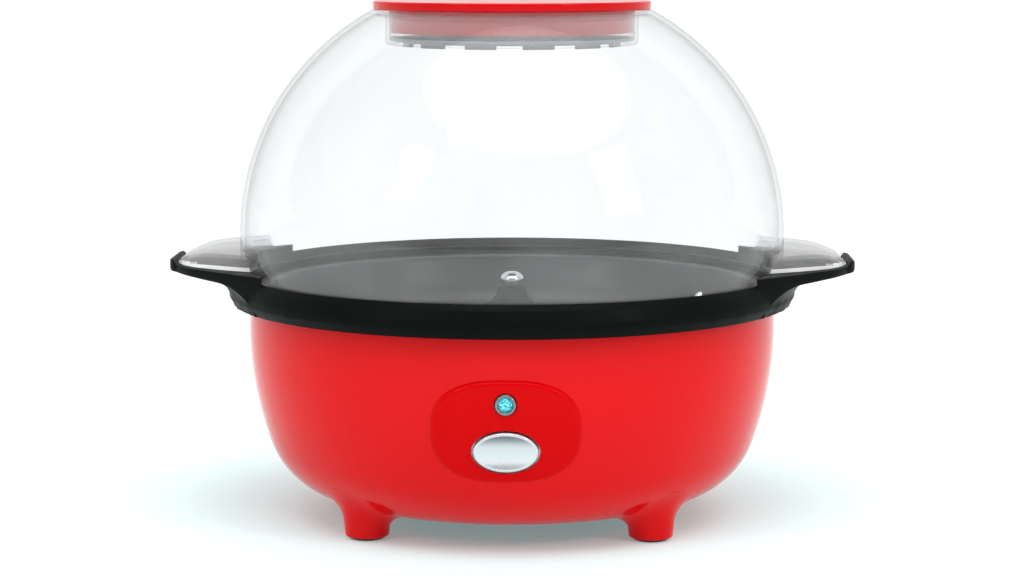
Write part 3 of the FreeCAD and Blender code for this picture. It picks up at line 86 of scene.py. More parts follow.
WING_ROOT = 104.0
WING_ROOT_HALF = 64.0
WING_TIP_HALF = 22.6
WING_CORNER = 12.0
WING_TOP = 111.5
WING_LIP = 2.3
WING_REACH = 150.2
TAB_ROOT = 115.6
TAB_ROOT_HALF = 47.5
TAB_TIP_HALF = 18.4
TAB_WALL = 1.8
TAB_REACH = 146.2
TAB_LOW = 111.8
CAP_TOP = 226.2
CAP_RADIUS = 60.8
HUB_TOP = 101.0
SHAFT_CLEAR = 3.2
ROD_RADIUS = 1.8
SPRING_RADIUS = 3.8
SPRING_WIRE = 0.45
SPRING_BACK = -94.1
SPRING_LENGTH = 9.0
SPRING_TURNS = 4.5

# ---- how finely the shapes are drawn --------------------------------------------------------------
ROUND = 288
WELD = 0.0005
SOFT_ANGLE = 32.0
CAD_ANGLE = 28.0


# ---- mesh helpers ---------------------------------------------------------------------------------
def arc(centre, radius, start, end, count):
    """Points on a circle from one angle to another, in degrees."""
    return [
        (centre[0] + radius * math.cos(a), centre[1] + radius * math.sin(a))
        for a in np.radians(np.linspace(start, end, count))
    ]


def soften(points, radii, steps=5):
    """A closed outline with its corners rounded. Radii go with the points, and 0 leaves a point as it is."""
    out = []
    count = len(points)
    for i, here in enumerate(points):
        radius = radii[i] if hasattr(radii, "__len__") else radii
        if not radius:
            out.append(tuple(here))
            continue
        p = np.array(here, float)
        a = np.array(points[i - 1], float) - p
        b = np.array(points[(i + 1) % count], float) - p
        la, lb = np.linalg.norm(a), np.linalg.norm(b)
        a, b = a / la, b / lb
        half = math.acos(max(-1, min(1, float(a @ b)))) / 2
        reach = min(radius / math.tan(half), 0.49 * la, 0.49 * lb)
        start, end = p + a * reach, p + b * reach
        for t in np.linspace(0, 1, steps):
            q = (1 - t) ** 2 * start + 2 * t * (1 - t) * p + t * t * end
            out.append((float(q[0]), float(q[1])))
    return out


class Shape:
    """Vertices in millimetres and faces, gathered into one mesh."""

    def __init__(self):
        self.verts = []
        self.faces = []

    def grid(self, rows, wrap=False, flip=False):
        """Faces between rows of points. wrap closes each row on itself."""
        start = len(self.verts)
        width = len(rows[0])
        for row in rows:
            self.verts.extend(tuple(float(c) for c in p) for p in row)
        for i in range(len(rows) - 1):
            for j in range(width if wrap else width - 1):
                k = (j + 1) % width
                face = [
                    start + i * width + j,
                    start + i * width + k,
                    start + (i + 1) * width + k,
                    start + (i + 1) * width + j,
                ]
                self.faces.append(face[::-1] if flip else face)

    def lid(self, first, count):
        """One face over a ring of points that starts at a given vertex."""
        self.faces.append(list(range(first, first + count)))

    def lathe(self, outline, count=ROUND, centre=(0, 0), axis="z"):
        """Turns a closed outline of (radius, height) about the Z axis, or about a line along Y."""
        rows = []
        for turn in np.linspace(0, 2 * math.pi, count, endpoint=False):
            c, s = math.cos(turn), math.sin(turn)
            if axis == "z":
                rows.append([(centre[0] + r * c, centre[1] + r * s, h) for r, h in outline])
            else:
                rows.append([(centre[0] + r * c, h, centre[1] + r * s) for r, h in outline])
        rows.append(rows[0])
        self.grid(rows, wrap=True)

    def object(self, name, angle=SOFT_ANGLE):
        """The mesh as an object with its doubled points merged and its shading smooth up to that angle."""
        mesh = bpy.data.meshes.new(name)
        mesh.from_pydata([Vector(v) * MM for v in self.verts], [], self.faces)
        bm = bmesh.new()
        bm.from_mesh(mesh)
        bmesh.ops.remove_doubles(bm, verts=bm.verts, dist=WELD * MM)
        bmesh.ops.dissolve_degenerate(bm, edges=bm.edges, dist=WELD * MM)
        bmesh.ops.recalc_face_normals(bm, faces=bm.faces)
        bm.to_mesh(mesh)
        bm.free()
        smoothed(mesh, angle)
        item = bpy.data.objects.new(name, mesh)
        scene.collection.objects.link(item)
        return item


def smoothed(mesh, angle):
    """Smooth shading, broken where two faces meet at more than that angle."""
    mesh.shade_smooth()
    mesh.set_sharp_from_angle(angle=math.radians(angle))


def combine(item, others, operation):
    """Applies a boolean with each of the other objects, which are then removed."""
    for other in others:
        step = item.modifiers.new("step", "BOOLEAN")
        step.operation = operation
        step.solver = "EXACT"
        step.object = other
    graph = bpy.context.evaluated_depsgraph_get()
    mesh = bpy.data.meshes.new_from_object(item.evaluated_get(graph))
    item.modifiers.clear()
    item.data = mesh
    for other in others:
        bpy.data.objects.remove(other)
    smoothed(mesh, SOFT_ANGLE)
    return item


def join(item, other):
    """Adds the mesh of another object to this one."""
    bm = bmesh.new()
    bm.from_mesh(item.data)
    bm.from_mesh(other.data)
    bm.to_mesh(item.data)
    bm.free()
    bpy.data.objects.remove(other)


def oval(height, half, y_from, y_to, name, count=96):
    """An oval rod along Y, in the middle of the front or the back."""
    ring = [
        (half[0] * math.cos(t), height + half[1] * math.sin(t))
        for t in np.linspace(0, 2 * math.pi, count, endpoint=False)
    ]
    shape = Shape()
    depths = np.linspace(y_from, y_to, 6)
    shape.grid([[(x, y, z) for x, z in ring] for y in depths], wrap=True)
    for row in (0, len(depths) - 1):
        shape.lid(row * count, count)
    return shape.object(name)


def tube(shape, path, radius, sides=20, up=(0, 0, 1)):
    """A round rod along points, with rounded ends."""
    points = [Vector(p) for p in path]
    rows = []
    up = Vector(up)
    for i, p in enumerate(points):
        ahead = points[min(i + 1, len(points) - 1)] - points[max(i - 1, 0)]
        ahead.normalize()
        side = ahead.cross(up).normalized()
        top = side.cross(ahead).normalized()
        ring = [
            p + side * math.cos(t) * radius + top * math.sin(t) * radius
            for t in np.linspace(0, 2 * math.pi, sides, endpoint=False)
        ]
        if i in (0, len(points) - 1):
            back = -ahead if i == 0 else ahead
            caps = []
            for tilt in np.radians((80, 60, 40, 20)):
                caps.append([
                    p + (q - p) * math.cos(tilt) + back * radius * math.sin(tilt) for q in ring
                ])
            pole = [[p + back * radius] * sides]
            rows.extend(pole + caps + [ring] if i == 0 else [ring] + caps[::-1] + pole)
        else:
            rows.append(ring)
    shape.grid(rows, wrap=True)


# ---- materials ------------------------------------------------------------------------------------
def linear(red, green, blue):
    """An sRGB colour of 0 to 255 as the shader wants it."""
    return tuple(
        c / 12.92 if c <= 0.04045 else ((c + 0.055) / 1.055) ** 2.4
        for c in (red / 255, green / 255, blue / 255)
    ) + (1.0,)


class Finish:
    """A material under construction, with its shader, its coordinates and a few kinds of detail."""

    def __init__(self, name, **sockets):
        self.material = bpy.data.materials.new(name)
        self.material.use_nodes = True
        self.tree = self.material.node_tree
        self.tree.nodes.clear()
        self.out = self.tree.nodes.new("ShaderNodeOutputMaterial")
        self.shader = self.tree.nodes.new("ShaderNodeBsdfPrincipled")
        self.link(self.shader.outputs[0], self.out.inputs["Surface"])
        self.place = self.tree.nodes.new("ShaderNodeTexCoord").outputs["Object"]
        self.normal = None
        for socket, value in sockets.items():
            self.shader.inputs[socket.replace("_", " ")].default_value = value

    def link(self, a, b):
        self.tree.links.new(a, b)

    def stretched(self, scale):
        node = self.tree.nodes.new("ShaderNodeMapping")
        node.inputs["Scale"].default_value = scale
        self.link(self.place, node.inputs["Vector"])
        return node.outputs["Vector"]

    def noise(self, scale, detail=3.0, place=None):
        node = self.tree.nodes.new("ShaderNodeTexNoise")
        node.inputs["Scale"].default_value = scale
        node.inputs["Detail"].default_value = detail
        self.link(place or self.place, node.inputs["Vector"])
        return node.outputs["Fac"]

    def cells(self, scale):
        """The distance to the nearest of many scattered points."""
        node = self.tree.nodes.new("ShaderNodeTexVoronoi")
        node.inputs["Scale"].default_value = scale
        self.link(self.place, node.inputs["Vector"])
        return node.outputs["Distance"]

    def ranged(self, value, low, high, start=0.3, end=0.7):
        node = self.tree.nodes.new("ShaderNodeMapRange")
        node.inputs["From Min"].default_value = start
        node.inputs["From Max"].default_value = end
        node.inputs["To Min"].default_value = low
        node.inputs["To Max"].default_value = high
        self.link(value, node.inputs["Value"])
        return node.outputs["Result"]

    def ramp(self, value, stops):
        node = self.tree.nodes.new("ShaderNodeValToRGB")
        elements = node.color_ramp.elements
        while len(elements) < len(stops):
            elements.new(0.5)
        for element, (at, colour) in zip(elements, stops):
            element.position = at
            element.color = colour
        self.link(value, node.inputs["Fac"])
        return node.outputs["Color"]

    def colour(self, value):
        self.link(value, self.shader.inputs["Base Color"])

    def rough(self, value):
        self.link(value, self.shader.inputs["Roughness"])

    def bump(self, height, strength, distance):
        node = self.tree.nodes.new("ShaderNodeBump")
        node.inputs["Strength"].default_value = strength
        node.inputs["Distance"].default_value = distance
        self.link(height, node.inputs["Height"])
        if self.normal:
            self.link(self.normal, node.inputs["Normal"])
        self.normal = node.outputs["Normal"]
        self.link(self.normal, self.shader.inputs["Normal"])


def shade(colour, share):
    """A colour made darker or lighter."""
    return tuple(c * share for c in colour[:3]) + (1.0,)


def moulded(name, colour, rough, spread, specular=0.5, ripple=0.02, grain=0.0):
    """Moulded plastic: faint flow in its colour, uneven gloss, a slight ripple and a grain if satin."""
    f = Finish(name, Specular_IOR_Level=specular)
    f.colour(f.ramp(f.noise(14, 4), [(0.3, shade(colour, 1 - spread)), (0.7, shade(colour, 1 + spread))]))
    f.rough(f.ranged(f.noise(90, 5), rough * 0.8, rough * 1.25))
    if ripple:
        f.bump(f.noise(160, 2), ripple, 0.0004)
    if grain:
        f.bump(f.noise(2600, 3), grain, 0.0002)
    return f


def metal(name, colour, rough, stretch=(1, 1, 1), scratches=0.25, spread=0.12):
    """Drawn or rolled metal with fine lines."""
    f = Finish(name, Metallic=1.0)
    lines = f.noise(900, 4, f.stretched(stretch))
    f.colour(f.ramp(lines, [(0.3, shade(colour, 1 - spread)), (0.7, shade(colour, 1 + spread * 0.5))]))
    f.rough(f.ranged(lines, rough * 0.7, rough * 1.4))
    f.bump(lines, scratches, 0.00008)
    return f


def clear(name, tint, edge_tint, gloss, haze):
    """Thin clear plastic: light passes straight through, and edges are deeper and more mirror-like."""
    f = Finish(name)
    tree = f.tree
    tree.nodes.remove(f.shader)
    pass_through = tree.nodes.new("ShaderNodeBsdfTransparent")
    shine = tree.nodes.new("ShaderNodeBsdfGlossy")
    milk = tree.nodes.new("ShaderNodeBsdfDiffuse")
    ripple = tree.nodes.new("ShaderNodeBump")
    ripple.inputs["Strength"].default_value = 0.01
    ripple.inputs["Distance"].default_value = 0.0006
    f.link(f.noise(45, 2), ripple.inputs["Height"])
    facing = tree.nodes.new("ShaderNodeLayerWeight")
    facing.inputs["Blend"].default_value = 0.5
    colour = f.ramp(facing.outputs["Facing"], [(0.0, tint), (0.8, tint), (0.99, edge_tint)])
    f.link(colour, pass_through.inputs["Color"])
    f.link(f.ranged(f.noise(60, 4), gloss * 0.7, gloss * 1.5), shine.inputs["Roughness"])
    milk.inputs["Color"].default_value = (0.92, 0.93, 0.94, 1.0)
    f.link(ripple.outputs["Normal"], shine.inputs["Normal"])
    f.link(ripple.outputs["Normal"], facing.inputs["Normal"])
    grazing = tree.nodes.new("ShaderNodeMath")
    grazing.operation = "POWER"
    grazing.inputs[1].default_value = 5.0
    f.link(facing.outputs["Facing"], grazing.inputs[0])
    mirror = f.ranged(grazing.outputs[0], 0.035, 0.85, 0.0, 1.0)
    body = tree.nodes.new("ShaderNodeMixShader")
    f.link(f.ranged(f.noise(24, 5), haze * 0.5, haze * 1.5), body.inputs[0])
    f.link(pass_through.outputs[0], body.inputs[1])
    f.link(milk.outputs[0], body.inputs[2])
    whole = tree.nodes.new("ShaderNodeMixShader")
    f.link(mirror, whole.inputs[0])
    f.link(body.outputs[0], whole.inputs[1])
    f.link(shine.outputs[0], whole.inputs[2])
    f.link(whole.outputs[0], f.out.inputs["Surface"])
    return f


RED = linear(216, 6, 12)
finishes = {
    "red_plastic": moulded("red_gloss", RED, 0.13, 0.03, specular=0.14, ripple=0.012),
    "cap_plastic": moulded("cap_red_gloss", linear(198, 5, 12), 0.15, 0.03, specular=0.16, ripple=0.012),
    "black_plastic": moulded("black_satin", linear(9, 12, 11), 0.42, 0.08, specular=0.04, grain=0.14),
    "rubber": moulded("foot_rubber", linear(22, 22, 23), 0.8, 0.15, specular=0.25, grain=0.4),
    "phenolic": moulded("phenolic_brown", linear(52, 38, 32), 0.5, 0.15, grain=0.3),
    "grey_plastic": moulded("gearbox_grey", linear(120, 124, 126), 0.45, 0.05, grain=0.2),
    "white_plastic": moulded("gear_white", linear(228, 226, 218), 0.38, 0.03, grain=0.15),
    "ceramic": moulded("ceramic_white", linear(225, 221, 212), 0.55, 0.05, grain=0.3),
    "sleeve": moulded("wire_sleeve", linear(196, 196, 190), 0.6, 0.06, grain=0.3),
    "magnet": moulded("magnet_dark", linear(66, 64, 66), 0.5, 0.15, grain=0.3),
    "element_steel": metal("element_sheath", linear(118, 116, 112), 0.38, (1, 1, 0.2)),
    "steel": metal("bright_steel", linear(192, 193, 196), 0.24, (1, 1, 0.1)),
    "zinc_steel": metal("zinc_sheet", linear(176, 180, 186), 0.36, (1, 1, 1), spread=0.2),
    "rod_steel": metal("stirring_steel", linear(214, 214, 216), 0.16, (0.3, 0.3, 1)),
    "copper_coil": metal("coil_copper", linear(186, 104, 62), 0.3, (0.1, 0.1, 1.6)),
    "brass": metal("bushing_brass", linear(190, 150, 84), 0.28, (1, 1, 0.15)),
    "chrome": metal("chrome_plate", linear(206, 208, 212), 0.14, (1, 1, 1), scratches=0.06, spread=0.04),
    "clear_plastic": clear("dome_clear", (0.99, 0.992, 0.994, 1), (0.80, 0.82, 0.83, 1), 0.03, 0.035),
    "smoke_plastic": moulded("vent_grey", linear(138, 140, 143), 0.3, 0.06, ripple=0.02, grain=0.05),
}


def nonstick():
    """Dark pan coating with pale specks."""
    f = Finish("nonstick_coat", Specular_IOR_Level=0.5)
    specks = f.cells(1500)
    f.colour(f.ramp(specks, [
        (0.05, linear(96, 97, 99)), (0.16, linear(38, 39, 41)), (0.7, linear(30, 31, 33)),
    ]))
    f.rough(f.ranged(f.noise(220, 5), 0.3, 0.46))
    f.bump(f.noise(1400, 3), 0.25, 0.0002)
    return f


def silvered():
    """Sprayed silver plastic with a very fine flake, and painted shade: the upper part of the dish, where it
    faces down, is coloured a darker grey as if out of the light from above.
    """
    f = Finish("button_silver", Metallic=0.8, Specular_IOR_Level=0.5, Coat_Weight=0.15, Coat_Roughness=0.08)
    flakes = f.cells(9000)
    paint = f.ramp(flakes, [(0.1, linear(222, 223, 226)), (0.6, linear(208, 210, 213))])
    place = f.tree.nodes.new("ShaderNodeSeparateXYZ")
    f.link(f.place, place.inputs[0])
    facing = f.tree.nodes.new("ShaderNodeSeparateXYZ")
    coordinates = f.tree.nodes.new("ShaderNodeTexCoord")
    f.link(coordinates.outputs["Normal"], facing.inputs[0])
    # painted shade: upper dish faces that point down are mixed towards dark grey, standing in for shade from
    # the light above
    upper = f.ranged(place.outputs["Z"], 0.0, 1.0, 0.0475, 0.0520)
    under = f.ranged(facing.outputs["Z"], 1.0, 0.0, -0.62, -0.40)
    painted_shade_mask = f.tree.nodes.new("ShaderNodeMath")
    painted_shade_mask.operation = "MULTIPLY"
    f.link(upper, painted_shade_mask.inputs[0])
    f.link(under, painted_shade_mask.inputs[1])
    painted_shade = f.tree.nodes.new("ShaderNodeMix")
    painted_shade.data_type = "RGBA"
    f.link(painted_shade_mask.outputs[0], painted_shade.inputs["Factor"])
    f.link(paint, painted_shade.inputs["A"])
    painted_shade.inputs["B"].default_value = linear(122, 124, 127)
    f.colour(painted_shade.outputs["Result"])
    f.rough(f.ranged(f.noise(500, 4), 0.26, 0.32))
    f.bump(f.noise(5200, 2), 0.02, 0.00003)
    return f


def lit_lens():
    """The teal lamp window, whose beaded back scatters the light."""
    f = Finish("lamp_teal", Roughness=0.12, Coat_Weight=0.5, Coat_Roughness=0.03, Emission_Strength=0.35)
    beads = f.cells(1250)
    tone = f.ramp(beads, [
        (0.05, linear(168, 232, 232)), (0.4, linear(66, 188, 200)), (0.8, linear(20, 112, 134)),
    ])
    f.colour(tone)
    f.link(tone, f.shader.inputs["Emission Color"])
    f.bump(beads, 0.25, 0.0003)
    return f


def lamp_glass():
    """The glass of the neon lamp behind the lens."""
    f = Finish("lamp_glass", Roughness=0.08, Transmission_Weight=0.6, IOR=1.5)
    f.colour(f.ramp(f.noise(400, 2), [(0.3, linear(176, 224, 226)), (0.7, linear(214, 240, 240))]))
    f.bump(f.noise(700, 2), 0.05, 0.0002)
    return f


finishes["nonstick"] = nonstick()
finishes["silver_button"] = silvered()
finishes["teal_lens"] = lit_lens()
finishes["lamp_glass"] = lamp_glass()


def piece(item, body, slot, nodes=(), finish=None):
    """Gives a new piece its finish, picked by slot unless one is given, puts it on its body and hides the
    CAD nodes it stands for.
    """
    item.data.materials.clear()
    item.data.materials.append((finish or finishes[slot]).material)
    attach(item, body)
    if nodes:
        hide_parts(*nodes)
    return item


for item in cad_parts.values():
    slot = item.data.materials[0].name.split(".")[0]
    finish = finishes.get(slot, finishes["steel"])
    for i in range(len(item.data.materials)):
        item.data.materials[i] = finish.material
    smoothed(item.data, CAD_ANGLE)


# ---- the camera, the light and the floor ----------------------------------------------------------
CAMERA_AWAY = 1.150
CAMERA_UP = 0.250
CAMERA_TURN = math.radians(1.3)
CAMERA_DOWN = math.radians(7.46)
CAMERA_SENSOR = 36
CAMERA_LENS = 91.97

camera = bpy.data.objects.new("camera", bpy.data.cameras.new("camera"))
scene.collection.objects.link(camera)
camera.location = (
    math.sin(CAMERA_TURN) * CAMERA_AWAY,
    -math.cos(CAMERA_TURN) * CAMERA_AWAY,
    CAMERA_UP,
)
camera.rotation_euler = (math.pi / 2 - CAMERA_DOWN, 0, CAMERA_TURN)
camera.data.sensor_width = CAMERA_SENSOR
camera.data.lens = CAMERA_LENS
scene.camera = camera


def soft_box(name, place, aim, size, power):
    """A rectangular lamp aimed at a point."""
    light = bpy.data.lights.new(name, "AREA")
    light.shape = "RECTANGLE"
    light.size, light.size_y = size
    light.energy = power
    item = bpy.data.objects.new(name, light)
    scene.collection.objects.link(item)
    item.location = place
    item.rotation_euler = (Vector(aim) - Vector(place)).to_track_quat("-Z", "Y").to_euler()


soft_box("key", (-0.95, -0.95, 0.85), (0, 0, 0.10), (0.30, 0.60), 3.0)
soft_box("fill", (1.05, -0.95, 0.80), (0, 0, 0.10), (0.45, 0.75), 1.2)
soft_box("streak", (0.98, -0.88, 0.74), (0, 0, 0.07), (0.045, 0.22), 2.6)
soft_box("top", (0.0, -0.75, 1.35), (0, 0, 0.1), (1.2, 0.7), 7.0)


def sun(name, aim_from, strength, spread):
    """Even light from one side of the sky."""
    light = bpy.data.lights.new(name, "SUN")
    light.energy = strength
    light.angle = math.radians(spread)
    item = bpy.data.objects.new(name, light)
    scene.collection.objects.link(item)
    item.rotation_euler = (-Vector(aim_from)).to_track_quat("-Z", "Y").to_euler()


sun("overhead", (0.1, -0.25, 1.0), 1.25, 70)


def studio_world():
    """White for the eye, and a white room that is darker in front for what shines."""
    world = bpy.data.worlds.new("studio")
    world.use_nodes = True
    tree = world.node_tree
    back = tree.nodes["Background"]
    place = tree.nodes.new("ShaderNodeTexCoord")
    split = tree.nodes.new("ShaderNodeSeparateXYZ")
    tree.links.new(place.outputs["Generated"], split.inputs[0])
    spread = tree.nodes.new("ShaderNodeMapRange")
    for socket, value in (("From Min", -0.9), ("From Max", 0.5), ("To Min", 0.42), ("To Max", 0.95)):
        spread.inputs[socket].default_value = value
    tree.links.new(split.outputs["Y"], spread.inputs["Value"])
    seen = tree.nodes.new("ShaderNodeLightPath")
    white = tree.nodes.new("ShaderNodeMix")
    white.data_type = "FLOAT"
    white.inputs["B"].default_value = 1.0
    tree.links.new(seen.outputs["Is Camera Ray"], white.inputs["Factor"])
    tree.links.new(spread.outputs["Result"], white.inputs["A"])
    tree.links.new(white.outputs["Result"], back.inputs["Strength"])
    back.inputs["Color"].default_value = (1.0, 1.0, 1.0, 1.0)
    scene.world = world


studio_world()


def sweep():
    """A round pale floor, wide enough for every view, with a painted cyan tint close to the housing that
    cancels the red light bounced onto it.
    """
    shape = Shape()
    rings = [0, 200, 400, 700, 1200, 2200, 4000, 8000, 14000]
    shape.grid([
        [(r * math.cos(t), r * math.sin(t), -0.02) for t in np.linspace(0, 2 * math.pi, 96, endpoint=False)]
        for r in rings
    ], wrap=True)
    item = shape.object("studio_floor")
    f = Finish("floor_pale", Specular_IOR_Level=0.1, Emission_Strength=0.25)
    away = f.tree.nodes.new("ShaderNodeVectorMath")
    away.operation = "LENGTH"
    f.link(f.place, away.inputs[0])
    # painted light: close to the housing the floor's colour and glow take less red, cancelling the red light
    # the housing bounces onto it
    share = f.ranged(away.outputs["Value"], 0, 1, 0.13, 0.34)
    f.colour(f.ramp(share, [(0, (0.60, 0.77, 0.77, 1)), (1, (0.73, 0.77, 0.77, 1))]))
    glow_and_painted_tint = f.ramp(share, [(0, (0.78, 0.97, 0.97, 1)), (1, (1.0, 0.96, 0.96, 1))])
    f.link(glow_and_painted_tint, f.shader.inputs["Emission Color"])
    f.rough(f.ranged(f.noise(3, 2), 0.66, 0.74))
    item.data.materials.append(f.material)


sweep()


# ---- the red housing ------------------------------------------------------------------------------
def side_radius(z):
    """Radius of the housing's side at a height."""
    return SIDE_CENTRE[0] + math.sqrt(SIDE_ARC**2 - (z - SIDE_CENTRE[1]) ** 2)


def wall_point(r):
    """Height and slope of the underside of the housing at a distance from the axis."""
    touch = 106.98
    if r <= BELLY_CENTRE[0]:
        return BODY_BOTTOM, 0.0
    if r < touch:
        drop = math.sqrt(BELLY_ARC**2 - (r - BELLY_CENTRE[0]) ** 2)
        return BELLY_CENTRE[1] - drop, (r - BELLY_CENTRE[0]) / drop
    drop = math.sqrt(max(SIDE_ARC**2 - (r - SIDE_CENTRE[0]) ** 2, 1.0))
    return SIDE_CENTRE[1] - drop, (r - SIDE_CENTRE[0]) / drop


def housing_outline():
    """The housing's wall in section, from its base opening round to the rim and back inside."""
    meet = math.degrees(math.atan2(BELLY_CENTRE[1] - SIDE_CENTRE[1], BELLY_CENTRE[0] - SIDE_CENTRE[0]))
    rim = math.degrees(math.asin((RIM_HEIGHT - SIDE_CENTRE[1]) / SIDE_ARC))
    outer = [(69.9, 11.3), (69.9, BODY_BOTTOM + 0.4), (70.3, BODY_BOTTOM)]
    outer += arc(BELLY_CENTRE, BELLY_ARC, -90, meet, 36)
    outer += arc(SIDE_CENTRE, SIDE_ARC, meet, rim, 44)[1:]
    rim_in = math.degrees(math.asin((RIM_HEIGHT - SIDE_CENTRE[1]) / (SIDE_ARC - WALL)))
    inner = arc(SIDE_CENTRE, SIDE_ARC - WALL, rim_in, meet, 24)
    inner += arc(BELLY_CENTRE, BELLY_ARC - WALL, meet, -78, 16)[1:]
    return outer + inner + [(62.0, 13.1), (62.0, 11.3)]


def proud(z):
    """How far the front panel stands out of the wall at a height."""
    share = (z - (PANEL_HEIGHT - PANEL_HALF[1])) / (2 * PANEL_HALF[1])
    return 0.55 + 1.25 * max(0.0, min(1.0, share * 1.3))


def front_y(x, z, out):
    """Y of a point on the housing's front, or as far as out in front of it."""
    return -math.sqrt((side_radius(z) + out) ** 2 - x * x)


def squared(half_x, half_z, turn, power):
    """A point on an oval with squared shoulders."""
    c, s = math.cos(turn), math.sin(turn)
    return (
        half_x * math.copysign(abs(c) ** (2 / power), c),
        half_z * math.copysign(abs(s) ** (2 / power), s),
    )


def panel_block():
    """The raised oval panel, with a rounded rim, as a closed block that reaches into the wall."""
    count = 220
    edge = 2.3
    rows = []
    turns = np.linspace(0, 2 * math.pi, count, endpoint=False)

    def ring(inset, lift):
        row = []
        for t in turns:
            x, z = squared(PANEL_HALF[0] - inset, PANEL_HALF[1] - inset, t, PANEL_POWER)
            z += PANEL_HEIGHT
            row.append((x, front_y(x, z, proud(z) + lift), z))
        return row

    rows.append(ring(0.0, -4.0))
    rows.append(ring(0.0, -3.0))
    depth = [proud(PANEL_HEIGHT + PANEL_HALF[1] * math.sin(t)) for t in turns]
    for tilt in np.radians(np.linspace(0, 90, 10)):
        row = []
        for i, t in enumerate(turns):
            fall = min(edge, depth[i] * 1.05 + 0.1)
            grow = edge * math.cos(tilt) - edge
            x, z = squared(PANEL_HALF[0] + grow, PANEL_HALF[1] + grow, t, PANEL_POWER)
            z += PANEL_HEIGHT
            row.append((x, front_y(x, z, proud(z) - fall * (1 - math.sin(tilt))), z))
        rows.append(row)
    for share in (0.97, 0.93, 0.85, 0.75, 0.65, 0.55, 0.45, 0.35, 0.25, 0.15, 0.07, 0.02):
        row = []
        for t in turns:
            x, z = squared((PANEL_HALF[0] - edge) * share, (PANEL_HALF[1] - edge) * share, t, PANEL_POWER)
            dip = 0.35 * min(1.0, (1 - share) / 0.12)
            row.append((x, front_y(x, z + PANEL_HEIGHT, proud(z + PANEL_HEIGHT) - dip), z + PANEL_HEIGHT))
        rows.append(row)
    shape = Shape()
    shape.grid(rows, wrap=True)
    shape.lid((len(rows) - 1) * count, count)
    shape.lid(0, count)
    return shape.object("panel_block")


def leg(cx, cy):
    """One leg: a closed shell whose flare lies on the housing and whose foot has a pocket for the pad."""
    count = 72
    outward = math.atan2(cy, cx)
    columns = []
    for turn in np.linspace(0, 2 * math.pi, count, endpoint=False):
        c, s = math.cos(turn), math.sin(turn)

        def at(d, z, c=c, s=s):
            return (cx + d * c, cy + d * s, z)

        def under(d, c=c, s=s):
            x, y = cx + d * c, cy + d * s
            r = math.hypot(x, y)
            z, slope = wall_point(r)
            return z, slope * (x * c + y * s) / r

        lean = math.cos(turn - outward)
        fillet = 8.7 + 6.4 * lean
        radius = 10.9
        height, slope = under(radius)
        alpha = math.atan(slope)
        theta = math.pi / 2 - alpha
        reach = fillet * math.tan(theta / 2)
        end = radius + reach * math.cos(alpha)
        end_z, end_slope = under(end)
        start_z = max(height - reach, 2.6)
        share = (start_z - 1.0) / 16.0
        start = 9.45 + 1.5 * share
        handle = 4 / 3 * math.tan(theta / 4) * fillet
        beta = math.atan(end_slope)
        p0 = np.array((start, start_z))
        p1 = p0 + np.array((0.09, 1.0)) * min(handle, (height - start_z) * 0.62)
        p3 = np.array((end, end_z - 0.012))
        p2 = p3 - np.array((math.cos(beta), math.sin(beta))) * handle
        column = [at(0.001, 3.05), at(7.7, 3.05), at(7.7, 1.25), at(8.0, 1.0)]
        for tilt in np.radians(np.linspace(-90, 0, 6)):
            column.append(at(8.4 + 1.05 * math.cos(tilt), 2.05 + 1.05 * math.sin(tilt)))
        for t in np.linspace(0, 1, 18):
            q = (1 - t) ** 3 * p0 + 3 * t * (1 - t) ** 2 * p1 + 3 * t * t * (1 - t) * p2 + t**3 * p3
            if q[1] > 2.1:
                column.append(at(q[0], q[1]))
        while len(column) < 28:
            column.insert(10, column[9])
        for share in np.linspace(1.0, 0.0, 7):
            d = max(end * share, 0.001)
            z, _ = under(d)
            column.append(at(d * 0.985, z + 1.3))
        columns.append(column)
    columns.append(columns[0])
    shape = Shape()
    shape.grid(columns)
    return shape.object("leg", angle=50)


def panel_finish():
    """A deeper, cleaner red for the oval panel, which is polished."""
    return moulded("panel_red_gloss", linear(204, 2, 5), 0.1, 0.02, specular=0.05, ripple=0.006)


def in_panel(point):
    """Whether a point of the housing's front, in metres, lies on the raised panel."""
    x, y, z = (c / MM for c in point)
    reach = abs(x / PANEL_HALF[0]) ** PANEL_POWER + abs((z - PANEL_HEIGHT) / PANEL_HALF[1]) ** PANEL_POWER
    if y > -80 or reach > 1.001:
        return False
    return y < front_y(x, z, 0.12)


def housing():
    """The shell with its panel, its openings and its legs."""
    shape = Shape()
    shape.lathe(housing_outline())
    body = shape.object("housing_shell")
    boss = Shape()
    boss.lathe(
        soften([(0.001, 99), (10.0, 99), (10.0, INLET_FACE), (0.001, INLET_FACE)], (0, 0, 0.8, 0)),
        72, (0, INLET_HEIGHT), "y")
    combine(body, [panel_block(), boss.object("boss")], "UNION")
    cuts = [
        oval(BUTTON_HEIGHT, (BUTTON_HALF[0] + 0.75, BUTTON_HALF[1] + 0.75), -130, -100, "button_hole"),
        oval(LAMP_HEIGHT, (BEZEL_RADIUS + 0.4, BEZEL_RADIUS + 0.4), -130, -100, "lamp_hole", 64),
        oval(INLET_HEIGHT, (4.2, 4.2), 90, 130, "inlet_hole", 48),
    ]
    combine(body, cuts, "DIFFERENCE")
    for sx in (1, -1):
        for sy in (1, -1):
            join(body, leg(sx * LEG_AT[0], sy * LEG_AT[1]))
    piece(body, "base", "red_plastic", ["base_housing"])
    body.data.materials.append(panel_finish().material)
    for face in body.data.polygons:
        if in_panel(face.center):
            face.material_index = 1


housing()


